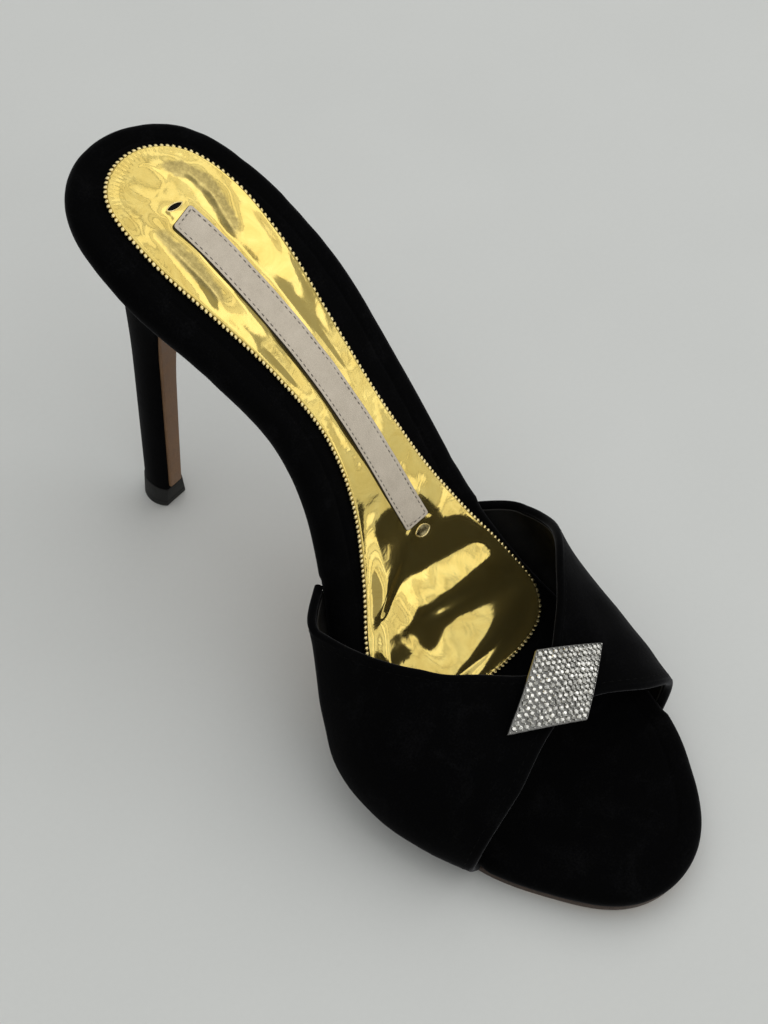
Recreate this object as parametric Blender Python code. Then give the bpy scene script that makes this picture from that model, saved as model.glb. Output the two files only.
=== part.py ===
# A velvet mule on a slim high heel, for the left foot, built at its real size.
# Metres, +Z up, toe toward -Y, heel toward +Y, inner (medial) side toward -X.
# The shoe stands on its outsole and its top lift, both flat at Z = 0.

import math

import bmesh
import bpy
from mathutils import Vector

MM = 0.001

# Driving sizes
FOOTBED_LENGTH = 236.0 * MM      # heel to toe, along the curved top of the footbed
FOOTBED_THICKNESS = 7.2 * MM     # padded insole board and its velvet wrap
FOOTBED_EDGE = 3.4 * MM          # radius of its rounded edge
TREAD_FLAT = 0.4 * MM            # how far the tread is flattened where it meets the ground
OUTSOLE_THICKNESS = 1.8 * MM
OUTSOLE_EDGE = 0.5 * MM
OUTSOLE_INSET = 1.4 * MM         # outsole edge inside the footbed's edge
WAIST_INSET = 3.0 * MM           # further inset of the outsole at the middle of the arch
WAIST_START = 0.15               # the narrowed length, as shares of the footbed's length
WAIST_END = 0.72
REAR_INSET = 2.6 * MM            # further inset of the outsole in front of the heel
REAR_START = 0.38                # where that inset begins to fade, and where it has gone
REAR_END = 0.64
SOCK_THICKNESS = 0.9 * MM
SOCK_EDGE = 0.4 * MM
SOCK_START = 0.037               # ends of the sock, as shares of the footbed's length
SOCK_END = 0.716
LABEL_SIZE = (7.9 * MM, 97.5 * MM, 0.6 * MM)
LABEL_SQUARENESS = 40            # how soon the label reaches its full width at its ends
LABEL_START = 0.116
LABEL_ACROSS = (-1.8 * MM, -2.5 * MM, -1.3 * MM, 1.3 * MM, 4.8 * MM)
VAMP_WALL = 2.2 * MM
VAMP_LOW = 3.5 * MM              # height over the footbed where the vamp is widest
HEEL_SEAT_LENGTH = 50.0 * MM     # from the back of the heel to the breast
HEEL_SEAT_INSET = 2.2 * MM
BREAST_CLEARANCE = 2.6 * MM       # the outsole stops this far in front of the heel's seat
LIFT_HEIGHT = 7.5 * MM
LIFT_MARGIN = 0.2 * MM           # how much wider than the heel's tip the lift is at its top
LIFT_FOOT = (5.1 * MM, 9.6 * MM)  # half width and depth of the lift where it stands
LIFT_LEAN = 0.8 * MM             # how far its foot stands toward the outer side
BREAST_THICKNESS = 1.0 * MM
BREAST_BORDER = 0.65 * MM        # velvet left showing at each side of the breast strip
CLEARANCE_RAMP = 4.0 * MM        # length over which the footbed narrows for the vamp
GAP = 0.3 * MM                   # clearance between neighbouring pieces

SAMPLING_REACH = 0.004           # step either side of a place when a direction is measured there

# Fineness of the meshes
CENTRE_LINE_STEPS = 400
OUTLINE_STEPS = 44
VAMP_ROUND_STEPS = 48
VAMP_LONG_STEPS = 10
HEEL_ROUND_STEPS = 10
HEEL_BREAST_COLUMNS = 4
BREAST_STEPS = 10
LABEL_STEPS = 30
SEAT_SAMPLES = 40
SEAT_SPREAD = 0.25               # how far around the vamp the ornament's seat is sampled
SEAT_REACH = 1.05                # and how far out, as a share of the diamond

# Sections of the last, heel to toe. They stand closer together toward both ends.
#   medial, lateral: half width of the footbed in mm
#   slope: degrees by which the footbed drops toward the toe
#   turn: degrees by which its centre line swings toward the outer side
LAST_COLUMNS = ("medial", "lateral", "slope", "turn")
LAST_SECTIONS = [
    (0.0, 0.0, 4.7, 17.2),
    (12.8, 12.8, 4.0, 17.0),
    (21.8, 22.4, 13.2, 14.9),
    (26.0, 24.6, 29.5, 12.0),
    (23.4, 24.1, 41.2, 9.0),
    (19.4, 22.3, 53.5, 4.5),
    (21.9, 24.1, 59.0, -1.7),
    (31.7, 28.9, 37.2, -6.5),
    (35.8, 33.6, 10.2, -8.7),
    (33.2, 32.0, -0.3, -9.9),
    (23.4, 23.2, -4.3, -9.5),
    (13.0, 12.7, -5.1, -7.7),
    (0.0, 0.0, -4.9, -5.6),
]

# Sections of the sock between its own two ends, spaced like those of the last:
# medial and lateral half widths in mm
SOCK_SECTIONS = [
    (0.0, 0.0),
    (8.6, 9.0),
    (14.1, 15.1),
    (16.8, 16.2),
    (15.6, 13.9),
    (12.5, 10.3),
    (9.6, 9.9),
    (10.8, 13.4),
    (16.1, 19.4),
    (24.0, 24.9),
    (27.8, 26.3),
    (29.3, 19.0),
    (0.0, 0.0),
]

# Sections of the vamp, evenly spaced between two shares of the footbed's length, in mm
#   height: crest over the footbed; medial, lateral: bulge past the footbed's edge;
#   crest: how far the crest stands toward the outer side
VAMP_FIRST = 0.45
VAMP_LAST = 0.95
VAMP_COLUMNS = ("height", "medial", "lateral", "crest")
VAMP_SECTIONS = [
    (44.9, 17.2, 6.0, -4.9),
    (37.6, 9.3, 7.4, -5.2),
    (34.3, 12.1, 3.3, -2.1),
    (26.9, 7.6, 1.6, -0.6),
    (29.1, -1.4, 2.0, 1.5),
]
VAMP_WALL_SHARE = 0.75           # share of the way from crest to foot that is arch, the rest is side wall

# The vamp's two edges, from its medial foot over the crest to its lateral foot:
# shares of the footbed's length at the toe edge and at the throat edge
VAMP_EDGES = [
    (0.861, 0.527),
    (0.871, 0.553),
    (0.860, 0.622),
    (0.823, 0.769),
    (0.852, 0.629),
    (0.849, 0.597),
    (0.850, 0.568),
]

# The heel from its seat to its tip: share of the way down, how much of the seat's flare is
# left, then the slim stem's greatest half width, its depth behind the breast, and how far its
# breast stands behind the tip's front, in mm
HEEL_SECTIONS = [
    (0.0, 1.0, 8.0, 20.0, 0.0),
    (0.05, 0.50, 7.0, 15.0, 1.5),
    (0.11, 0.26, 6.1, 13.4, 3.4),
    (0.18, 0.13, 5.8, 12.9, 3.3),
    (0.27, 0.04, 5.4, 12.3, 3.2),
    (0.38, 0.01, 5.0, 11.5, 3.0),
    (0.52, 0.0, 4.6, 10.7, 2.4),
    (0.75, 0.0, 4.3, 10.0, 1.3),
    (1.0, 0.0, 4.0, 9.4, 0.0),
]
HEEL_SWEEP = 138.0               # degrees from the back of the heel round to each edge of its breast
TIP_ACROSS = 5.3 * MM            # the tip's flat front from the heel end of the footbed: to the
TIP_AHEAD = 25.4 * MM            # outer side, and toward the toe
HEEL_TURN = 0.0                  # degrees by which the breast faces toward the inner side
BREAST_TOP = 0.05
BREAST_FOOT = 0.985

# The ornament: a low four-sided pyramid on a diamond plate that is bent over the vamp
ORNAMENT_SHARE = 0.795           # where it sits along the footbed, and around the vamp
ORNAMENT_AROUND = 0.498
ORNAMENT_LENGTH = 34.3 * MM
ORNAMENT_WIDTH = 19.9 * MM
ORNAMENT_SKEW = 1.9 * MM
ORNAMENT_DROP = 3.8 * MM         # how far its long ends bend down
ORNAMENT_RIM = 1.0 * MM
ORNAMENT_HEIGHT = 1.7 * MM       # of the pyramid over its rim
ORNAMENT_STEPS = 6


def section_value(rows, column, station):
    """Smooth value of a column between rows; station runs from 0 to 1 down the table."""
    place = min(max(station, 0.0), 1.0) * (len(rows) - 1)
    low = min(int(place), len(rows) - 2)
    part = place - low
    start = rows[low][column]
    end = rows[low + 1][column]
    before = rows[low - 1][column] if low > 0 else 2 * start - end
    after = rows[low + 2][column] if low < len(rows) - 2 else 2 * end - start
    bend_in = (end - before) / 2
    bend_out = (after - start) / 2
    square = part * part
    cube = square * part
    value = (2 * cube - 3 * square + 1) * start
    value += (cube - 2 * square + part) * bend_in
    value += (3 * square - 2 * cube) * end
    value += (cube - square) * bend_out
    return value


def last_value(name, station):
    return section_value(LAST_SECTIONS, LAST_COLUMNS.index(name), station)


def share_at(station):
    """Share of the length at a station; stations crowd toward both ends, which comes out round."""
    return 0.5 * (1.0 - math.cos(math.pi * station))


def station_at(distance):
    share = min(max(distance / FOOTBED_LENGTH, 0.0), 1.0)
    return math.acos(1.0 - 2.0 * share) / math.pi


def trace_centre_line():
    """Walk along the footbed from heel to toe and keep the place reached after each step."""
    step = FOOTBED_LENGTH / CENTRE_LINE_STEPS
    place = Vector((0.0, 0.0, 0.0))
    places = [place.copy()]
    for index in range(CENTRE_LINE_STEPS):
        station = station_at((index + 0.5) * step)
        slope = math.radians(last_value("slope", station))
        turn = math.radians(last_value("turn", station))
        level = math.cos(slope) * step
        place = place + Vector((level * math.sin(turn), -level * math.cos(turn), -math.sin(slope) * step))
        places.append(place)
    return places


CENTRE_LINE = trace_centre_line()
SOLE_DEPTH = FOOTBED_THICKNESS + GAP + OUTSOLE_THICKNESS
GROUND = min(place.z for place in CENTRE_LINE) - SOLE_DEPTH + TREAD_FLAT


def sole_frame(distance):
    """Place on the centre line, the direction across the shoe, and the footbed's normal."""
    place = min(max(distance / FOOTBED_LENGTH, 0.0), 1.0) * CENTRE_LINE_STEPS
    low = min(int(place), CENTRE_LINE_STEPS - 1)
    origin = CENTRE_LINE[low].lerp(CENTRE_LINE[low + 1], place - low)
    station = station_at(distance)
    slope = math.radians(last_value("slope", station))
    turn = math.radians(last_value("turn", station))
    cross = Vector((math.cos(turn), math.sin(turn), 0.0))
    normal = Vector((math.sin(slope) * math.sin(turn), -math.sin(slope) * math.cos(turn), math.cos(slope)))
    return origin, cross, normal


def sole_point(distance, across, depth):
    """A point under the foot: along the centre line, across the shoe, and down from the footbed's top."""
    origin, cross, normal = sole_frame(distance)
    return origin + cross * across - normal * depth


def footbed_edge(station, side):
    """Outline of the footbed laid out flat: distance from the heel, and across (side is -1 or +1)."""
    half = max(last_value("medial" if side < 0 else "lateral", station), 0.0) * MM
    return share_at(station) * FOOTBED_LENGTH, side * half


def sock_edge(station, side):
    medial, lateral = (section_value(SOCK_SECTIONS, column, station) for column in (0, 1))
    half = max(medial if side < 0 else lateral, 0.0) * MM
    share = SOCK_START + (SOCK_END - SOCK_START) * share_at(station)
    return share * FOOTBED_LENGTH, side * half


def inset_edge(edge, station, side, inset):
    """The same outline moved inward by a distance, square to itself."""
    if station <= 0.0 or station >= 1.0:
        distance, across = edge(station, side)
        return distance + (inset if station <= 0.0 else -inset), across
    behind = edge(max(station - SAMPLING_REACH, 0.0), side)
    ahead = edge(min(station + SAMPLING_REACH, 1.0), side)
    along = ahead[0] - behind[0]
    aside = ahead[1] - behind[1]
    length = math.hypot(along, aside)
    distance, across = edge(station, side)
    return distance + side * aside / length * inset, across - side * along / length * inset


def edge_stations(start, steps):
    return [start + (1.0 - start) * index / steps for index in range(steps + 1)]


def ring_places(edge, inset, start, steps, columns):
    """Flat places around an outline: down the medial side to the toe and back up the lateral side.

    A ring that starts at the heel's end has a single place there. One that starts further
    along ends in a straight cut, with places along it.
    """
    stations = edge_stations(start, steps)
    down = [inset_edge(edge, station, -1, inset) for station in stations]
    up = [inset_edge(edge, station, 1, inset) for station in reversed(stations[1:-1])]
    if start > 0.0:
        medial = down[0]
        lateral = inset_edge(edge, stations[0], 1, inset)
        up += [between(lateral, medial, column / columns) for column in range(columns)]
    return down + up


def between(first, second, part):
    return first[0] + (second[0] - first[0]) * part, first[1] + (second[1] - first[1]) * part


def new_object(name, mesh_maker, colour, roughness, metallic=0.0):
    """Make a mesh object with its own material and shade its round faces smooth."""
    mesh = bpy.data.meshes.new(name)
    shape = bmesh.new()
    mesh_maker(shape)
    bmesh.ops.recalc_face_normals(shape, faces=shape.faces)
    shape.to_mesh(mesh)
    shape.free()
    mesh.shade_smooth()
    mesh.set_sharp_from_angle(angle=math.radians(40))
    material = bpy.data.materials.new(name + "_finish")
    material.use_nodes = True
    shader = material.node_tree.nodes["Principled BSDF"]
    shader.inputs["Base Color"].default_value = (*colour, 1.0)
    shader.inputs["Roughness"].default_value = roughness
    shader.inputs["Metallic"].default_value = metallic
    mesh.materials.append(material)
    piece = bpy.data.objects.new(name, mesh)
    bpy.context.collection.objects.link(piece)
    return piece


def bridge_rings(shape, upper, lower):
    count = len(upper)
    for index in range(count):
        after = (index + 1) % count
        shape.faces.new((upper[index], lower[index], lower[after], upper[after]))


def close_slab(shape, ring, places, steps, whole, columns, lay):
    """Close one face of a slab with rows of quads from its medial to its lateral edge."""
    rows = [] if whole else [[ring[0]] + ring[:2 * steps - 1:-1]]
    for index in range(1, steps):
        opposite = 2 * steps - index
        row = [ring[index]]
        for column in range(1, columns):
            row.append(shape.verts.new(lay(*between(places[index], places[opposite], column / columns))))
        row.append(ring[opposite])
        rows.append(row)
    for row, after in zip(rows, rows[1:]):
        for column in range(columns):
            shape.faces.new((row[column], row[column + 1], after[column + 1], after[column]))
    for column in range(columns):
        shape.faces.new((rows[-1][column], rows[-1][column + 1], ring[steps]))
        if whole:
            shape.faces.new((rows[0][column + 1], rows[0][column], ring[0]))


def slab_maker(edge, profile, start=0.0, steps=OUTLINE_STEPS, columns=3, lay=sole_point):
    """A layer that follows the last. Profile rows run from its top to its bottom: inset, depth."""

    def make(shape):
        whole = start <= 0.0
        rings = []
        for inset, depth in profile:
            places = ring_places(edge, inset, start, steps, columns)
            ring = [shape.verts.new(lay(distance, across, depth)) for distance, across in places]
            rings.append((ring, places, depth))
        for (upper, _, _), (lower, _, _) in zip(rings, rings[1:]):
            bridge_rings(shape, upper, lower)
        for ring, places, depth in (rings[0], rings[-1]):
            close_slab(shape, ring, places, steps, whole, columns, lambda d, a, depth=depth: lay(d, a, depth))

    return make


def rounded_profile(top, thickness, radius, inset=0.0, turns=3):
    """Inset and depth rows of a layer whose edge is rounded above and below."""
    rows = []
    for index in range(turns + 1):
        angle = math.pi / 2 * index / turns
        rows.append((inset + radius * (1 - math.sin(angle)), top + radius * (1 - math.cos(angle))))
    for index in range(turns + 1):
        angle = math.pi / 2 * index / turns
        inward, up = radius * (1 - math.cos(angle)), radius * (1 - math.sin(angle))
        rows.append((inset + inward, top + thickness - up))
    return rows


def tread_point(distance, across, depth):
    """As sole_point, but flattened on the ground."""
    place = sole_point(distance, across, depth)
    place.z = max(place.z, GROUND)
    return place


# Middle of the heel's flat front at its tip, just above the top lift
TIP_BREAST = Vector((TIP_ACROSS, -TIP_AHEAD, GROUND + LIFT_HEIGHT))
HEEL_ACROSS = Vector((math.cos(math.radians(HEEL_TURN)), math.sin(math.radians(HEEL_TURN)), 0.0))
HEEL_BACK = Vector((-HEEL_ACROSS.y, HEEL_ACROSS.x, 0.0))


def vamp_value(name, share):
    station = (share - VAMP_FIRST) / (VAMP_LAST - VAMP_FIRST)
    return section_value(VAMP_SECTIONS, VAMP_COLUMNS.index(name), station) * MM


def vamp_point(share, around):
    """Outer face of the vamp: around runs 0 to 1 from its medial foot over the crest to its lateral foot."""
    distance = share * FOOTBED_LENGTH
    side = -1 if around < 0.5 else 1
    half = abs(footbed_edge(station_at(distance), side)[1])
    bulge = vamp_value("medial" if side < 0 else "lateral", share)
    crest = side * vamp_value("crest", share)
    from_crest = abs(2.0 * around - 1.0)
    if from_crest > VAMP_WALL_SHARE:
        climb = (1.0 - from_crest) / (1.0 - VAMP_WALL_SHARE)
        across = half + bulge * math.sin(math.pi / 2 * climb)
        height = -FOOTBED_THICKNESS + (FOOTBED_THICKNESS + VAMP_LOW) * climb
    else:
        angle = math.pi / 2 * from_crest / VAMP_WALL_SHARE
        across = crest + (half + bulge - crest) * math.sin(angle)
        height = VAMP_LOW + (vamp_value("height", share) - VAMP_LOW) * math.cos(angle)
    return sole_point(distance, side * across, -height)


def make_vamp(shape):
    """One sheet, open at the toe, at the throat and underneath; its wall is added by Solidify."""
    rows = []
    for row in range(VAMP_ROUND_STEPS + 1):
        around = row / VAMP_ROUND_STEPS
        front = section_value(VAMP_EDGES, 0, around)
        back = section_value(VAMP_EDGES, 1, around)
        shares = [front + (back - front) * step / VAMP_LONG_STEPS for step in range(VAMP_LONG_STEPS + 1)]
        rows.append([shape.verts.new(vamp_point(share, around)) for share in shares])
    for row, after in zip(rows, rows[1:]):
        for step in range(VAMP_LONG_STEPS):
            shape.faces.new((row[step], row[step + 1], after[step + 1], after[step]))


def stem_places(middle, half, reach):
    """A horseshoe round the back of the heel's stem, from one edge of its flat front to the other."""
    places = []
    sweep = math.radians(HEEL_SWEEP)
    for index in range(-HEEL_ROUND_STEPS, HEEL_ROUND_STEPS + 1):
        angle = sweep * index / HEEL_ROUND_STEPS
        depth = (math.cos(angle) - math.cos(sweep)) / (1 - math.cos(sweep))
        places.append(middle + HEEL_ACROSS * half * math.sin(angle) + HEEL_BACK * reach * depth)
    return places


def heel_ring(down, flare, half, reach, back):
    """One level of the heel: the seat's own outline, drawn in toward a slim stem with a flat breast."""
    seat_station = station_at(HEEL_SEAT_LENGTH)
    seat_depth = FOOTBED_THICKNESS + GAP
    ring = []
    stem = stem_places(TIP_BREAST + HEEL_BACK * back, half, reach)
    for index in range(-HEEL_ROUND_STEPS, HEEL_ROUND_STEPS + 1):
        part = abs(index) / HEEL_ROUND_STEPS
        side = -1 if index < 0 else 1
        distance, across = inset_edge(footbed_edge, seat_station * part, side, HEEL_SEAT_INSET)
        seat = sole_point(min(distance, HEEL_SEAT_LENGTH), across, seat_depth)
        place = stem[index + HEEL_ROUND_STEPS].lerp(seat, flare)
        place.z = seat.z + (TIP_BREAST.z - seat.z) * down
        ring.append(place)
    return ring


def make_heel(shape):
    rings = [heel_ring(*row[:2], *(size * MM for size in row[2:])) for row in HEEL_SECTIONS]
    columns = HEEL_BREAST_COLUMNS
    loops = []
    for ring in rings:
        medial, lateral = ring[0], ring[-1]
        breast = [lateral.lerp(medial, column / columns) for column in range(1, columns)]
        loops.append([shape.verts.new(place) for place in ring + breast])
    for upper, lower in zip(loops, loops[1:]):
        bridge_rings(shape, upper, lower)
    shape.faces.new(loops[-1])
    close_heel_seat(shape, loops[0], columns)


def close_heel_seat(shape, loop, columns):
    """The seat follows the underside of the footbed, row by row from the breast to the back."""
    around = HEEL_ROUND_STEPS
    rows = [[loop[0]] + loop[:2 * around:-1] + [loop[2 * around]]]
    seat_depth = FOOTBED_THICKNESS + GAP
    seat_station = station_at(HEEL_SEAT_LENGTH)
    for index in range(around - 1, 0, -1):
        station = seat_station * index / around
        ends = [inset_edge(footbed_edge, station, side, HEEL_SEAT_INSET) for side in (-1, 1)]
        row = [loop[around - index]]
        for column in range(1, columns):
            part = column / columns
            distance = min(ends[0][0] + (ends[1][0] - ends[0][0]) * part, HEEL_SEAT_LENGTH)
            across = ends[0][1] + (ends[1][1] - ends[0][1]) * part
            row.append(shape.verts.new(sole_point(distance, across, seat_depth)))
        row.append(loop[around + index])
        rows.append(row)
    for row, after in zip(rows, rows[1:]):
        for column in range(columns):
            shape.faces.new((row[column], row[column + 1], after[column + 1], after[column]))
    for column in range(columns):
        shape.faces.new((rows[-1][column], rows[-1][column + 1], loop[around]))


def make_breast(shape):
    """The leather strip down the flat front of the heel, narrower than it by a velvet border."""
    loops = []
    for step in range(BREAST_STEPS + 1):
        down = BREAST_TOP + (BREAST_FOOT - BREAST_TOP) * step / BREAST_STEPS
        ring = heel_ring(down, *heel_section_at(down))
        medial, lateral = ring[0], ring[-1]
        inward = (lateral - medial).normalized() * BREAST_BORDER
        back = HEEL_BACK * -GAP
        front = HEEL_BACK * (-GAP - BREAST_THICKNESS)
        medial, lateral = medial + inward, lateral - inward
        corners = (medial + back, medial + front, lateral + front, lateral + back)
        loops.append([shape.verts.new(place) for place in corners])
    for upper, lower in zip(loops, loops[1:]):
        bridge_rings(shape, upper, lower)
    shape.faces.new(loops[0])
    shape.faces.new(loops[-1])


def heel_section_at(down):
    """The heel's section part way down, between the table's rows."""
    for upper, lower in zip(HEEL_SECTIONS, HEEL_SECTIONS[1:]):
        if down <= lower[0]:
            break
    part = (down - upper[0]) / (lower[0] - upper[0])
    flare, *sizes = (first + (second - first) * part for first, second in zip(upper[1:], lower[1:]))
    return flare, *(size * MM for size in sizes)


def make_lift(shape):
    """The rubber tip: a little wider than the heel's last section, and spreading toward the ground."""
    half, reach = (size * MM for size in HEEL_SECTIONS[-1][2:4])
    top = TIP_BREAST - HEEL_BACK * LIFT_MARGIN
    top.z -= GAP
    foot = TIP_BREAST + HEEL_ACROSS * LIFT_LEAN
    foot.z = GROUND
    loops = []
    for middle, sizes in ((top, (half + LIFT_MARGIN, reach + 2 * LIFT_MARGIN)), (foot, LIFT_FOOT)):
        loops.append([shape.verts.new(place) for place in stem_places(middle, *sizes)])
    bridge_rings(shape, *loops)
    shape.faces.new(loops[0])
    shape.faces.new(loops[1])


def ornament_frame():
    """Place on the vamp under the ornament, with directions across the shoe, toward the toe, and out."""
    share, around, step = ORNAMENT_SHARE, ORNAMENT_AROUND, SAMPLING_REACH
    across = (vamp_point(share, around + step) - vamp_point(share, around - step)).normalized()
    toward_toe = vamp_point(share + step, around) - vamp_point(share - step, around)
    out = toward_toe.cross(across).normalized()
    if out.z < 0:
        out = -out
    return vamp_point(share, around), across, across.cross(out).normalized(), out


def ornament_lift(middle, across, toe, out):
    """Height of the vamp's highest place under the bent diamond, over its middle."""
    highest = 0.0
    steps = [step / SEAT_SAMPLES for step in range(-SEAT_SAMPLES, SEAT_SAMPLES + 1)]
    for row in steps:
        share = ORNAMENT_SHARE + ORNAMENT_WIDTH / FOOTBED_LENGTH * row
        for column in steps:
            place = vamp_point(share, ORNAMENT_AROUND + SEAT_SPREAD * column) - middle
            along = place.dot(across) / (ORNAMENT_LENGTH / 2)
            aside = (place.dot(toe) + along * ORNAMENT_SKEW) / (ORNAMENT_WIDTH / 2)
            if abs(along) + abs(aside) < SEAT_REACH:
                highest = max(highest, place.dot(out) + ORNAMENT_DROP * along * along)
    return highest


def ornament_rows(shape, frame, level, peak):
    """Rows across the diamond from its medial to its lateral end; peak raises its middle."""
    middle, across, toe, out = frame
    rows = []
    for step in range(-ORNAMENT_STEPS, ORNAMENT_STEPS + 1):
        part = step / ORNAMENT_STEPS
        spread = 1.0 - abs(part)
        row = []
        for aside in (-spread, 0.0, spread) if spread else (0.0,):
            height = level + peak * (spread - abs(aside)) - ORNAMENT_DROP * part * part
            place = middle + across * part * ORNAMENT_LENGTH / 2 + out * height
            place += toe * (aside * ORNAMENT_WIDTH / 2 - part * ORNAMENT_SKEW)
            row.append(shape.verts.new(place))
        rows.append(row)
    return rows


def close_diamond(shape, rows):
    for row, after in zip(rows, rows[1:]):
        for column in range(2):
            near = row[min(column, len(row) - 1):column + 2]
            far = after[min(column, len(after) - 1):column + 2]
            shape.faces.new(near + far[::-1])


def make_ornament(shape):
    frame = ornament_frame()
    base = ornament_lift(*frame) + GAP
    lower = ornament_rows(shape, frame, base, 0.0)
    upper = ornament_rows(shape, frame, base + ORNAMENT_RIM, ORNAMENT_HEIGHT)
    outlines = [[row[0] for row in rows] + [row[-1] for row in rows[-2:0:-1]] for rows in (upper, lower)]
    bridge_rings(shape, *outlines)
    close_diamond(shape, upper)
    close_diamond(shape, lower)


def vamp_clearance(distance, side):
    """How far the footbed draws in beside the vamp, so that the upper's outside runs flush with it."""
    share = distance / FOOTBED_LENGTH
    front, back = VAMP_EDGES[0] if side < 0 else VAMP_EDGES[-1]
    ramp = CLEARANCE_RAMP / FOOTBED_LENGTH
    into = min(max((share - back + ramp) / ramp, 0.0), 1.0)
    out_of = min(max((front + ramp - share) / ramp, 0.0), 1.0)
    return (VAMP_WALL + GAP) * min(into, out_of)


def footbed_side(station, side):
    distance, across = footbed_edge(station, side)
    narrowed = max(abs(across) - vamp_clearance(distance, side), 0.0)
    return distance, side * narrowed


def outsole_edge(station, side):
    """The footbed's outline, drawn in along the waist and in front of the heel."""
    distance, across = footbed_edge(station, side)
    share = distance / FOOTBED_LENGTH
    along = min(max((share - WAIST_START) / (WAIST_END - WAIST_START), 0.0), 1.0)
    fade = min(max((share - REAR_START) / (REAR_END - REAR_START), 0.0), 1.0)
    inset = WAIST_INSET * math.sin(math.pi * along) ** 2 + REAR_INSET * math.cos(math.pi / 2 * fade) ** 2
    return distance, side * max(abs(across) - inset, 0.0)


def label_edge(station, side):
    """A long rectangle with lightly rounded corners."""
    width, length, _ = LABEL_SIZE
    distance = LABEL_START * FOOTBED_LENGTH + length * share_at(station)
    half = width / 2 * min(1.0, station * LABEL_SQUARENESS, (1 - station) * LABEL_SQUARENESS)
    return distance, section_value([(across,) for across in LABEL_ACROSS], 0, share_at(station)) + side * half


def remove_start_objects():
    for piece in list(bpy.data.objects):
        bpy.data.objects.remove(piece, do_unlink=True)


def build_shoe():
    remove_start_objects()
    velvet = (0.012, 0.012, 0.013)
    footbed_rows = rounded_profile(0.0, FOOTBED_THICKNESS, FOOTBED_EDGE)
    outsole_top = FOOTBED_THICKNESS + GAP
    outsole_rows = rounded_profile(outsole_top, OUTSOLE_THICKNESS, OUTSOLE_EDGE, OUTSOLE_INSET, turns=1)
    sock_rows = rounded_profile(-GAP - SOCK_THICKNESS, SOCK_THICKNESS, SOCK_EDGE, turns=1)
    label_top = -2 * GAP - SOCK_THICKNESS - LABEL_SIZE[2]
    label_rows = [(0.0, label_top), (0.0, label_top + LABEL_SIZE[2])]
    breast_station = station_at(HEEL_SEAT_LENGTH + BREAST_CLEARANCE)
    pieces = [
        new_object("footbed", slab_maker(footbed_side, footbed_rows), velvet, 0.9),
        new_object("outsole", slab_maker(outsole_edge, outsole_rows, breast_station, lay=tread_point),
                   (0.42, 0.27, 0.17), 0.55),
        new_object("sock", slab_maker(sock_edge, sock_rows), (0.83, 0.66, 0.30), 0.12, 1.0),
        new_object("label_patch", slab_maker(label_edge, label_rows, steps=LABEL_STEPS, columns=1),
                   (0.62, 0.58, 0.53), 0.6),
        new_object("vamp", make_vamp, velvet, 0.9),
        new_object("heel", make_heel, velvet, 0.9),
        new_object("heel_breast", make_breast, (0.35, 0.22, 0.14), 0.5),
        new_object("top_lift", make_lift, (0.05, 0.05, 0.05), 0.6),
        new_object("ornament", make_ornament, (0.75, 0.76, 0.78), 0.15, 1.0),
    ]
    wall = pieces[4].modifiers.new("wall", "SOLIDIFY")
    wall.thickness = VAMP_WALL
    wall.offset = -1.0
    wall.use_even_offset = True
    corners = [vertex.co for piece in pieces for vertex in piece.data.vertices]
    shift = Vector((
        -(min(place.x for place in corners) + max(place.x for place in corners)) / 2,
        -(min(place.y for place in corners) + max(place.y for place in corners)) / 2,
        -GROUND,
    ))
    for piece in pieces:
        piece.location = shift


build_shoe()
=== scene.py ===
# Velvet mule on a slim high heel, left foot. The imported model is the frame; every piece here
# is laid on the same last, in millimetres from the heel end of the footbed's top.
import math

import bmesh
import bpy
import numpy as np
from mathutils import Matrix, Vector
from mathutils.kdtree import KDTree


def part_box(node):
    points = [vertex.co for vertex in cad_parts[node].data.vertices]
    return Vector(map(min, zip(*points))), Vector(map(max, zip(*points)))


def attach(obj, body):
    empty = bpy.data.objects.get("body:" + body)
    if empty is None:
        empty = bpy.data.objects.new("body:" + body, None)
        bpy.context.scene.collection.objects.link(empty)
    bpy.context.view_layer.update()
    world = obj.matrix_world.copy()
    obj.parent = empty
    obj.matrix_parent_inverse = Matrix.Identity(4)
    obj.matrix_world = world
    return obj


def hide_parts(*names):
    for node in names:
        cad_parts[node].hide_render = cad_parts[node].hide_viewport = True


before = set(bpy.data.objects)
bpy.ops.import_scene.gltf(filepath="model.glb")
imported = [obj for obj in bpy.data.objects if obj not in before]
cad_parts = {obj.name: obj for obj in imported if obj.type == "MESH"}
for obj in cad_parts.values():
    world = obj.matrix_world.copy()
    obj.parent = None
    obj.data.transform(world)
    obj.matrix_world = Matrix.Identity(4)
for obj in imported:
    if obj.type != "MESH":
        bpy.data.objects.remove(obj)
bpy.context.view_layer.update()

mm = 0.001
quarterTurn = math.pi / 2

last = {
    "length": 236.0,        # heel to toe, along the curved top of the footbed
    "thickness": 7.2,
    "soleDepth": 9.3,       # footbed, gap and outsole together
    "treadFlat": 0.4,       # how far the tread is flattened on the ground
    "walkSteps": 4000,
    # half width inner side, half width outer side, drop toward the toe, swing to the outer side
    "sections": [
        (0.0, 0.0, 4.7, 17.2), (12.8, 12.8, 4.0, 17.0), (21.8, 22.4, 13.2, 14.9),
        (26.0, 24.6, 29.5, 12.0), (23.4, 24.1, 41.2, 9.0), (19.4, 22.3, 53.5, 4.5),
        (21.9, 24.1, 59.0, -1.7), (31.7, 28.9, 37.2, -6.5), (35.8, 33.6, 10.2, -8.7),
        (33.2, 32.0, -0.3, -9.9), (23.4, 23.2, -4.3, -9.5), (13.0, 12.7, -5.1, -7.7),
        (0.0, 0.0, -4.9, -5.6),
    ],
}


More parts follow.
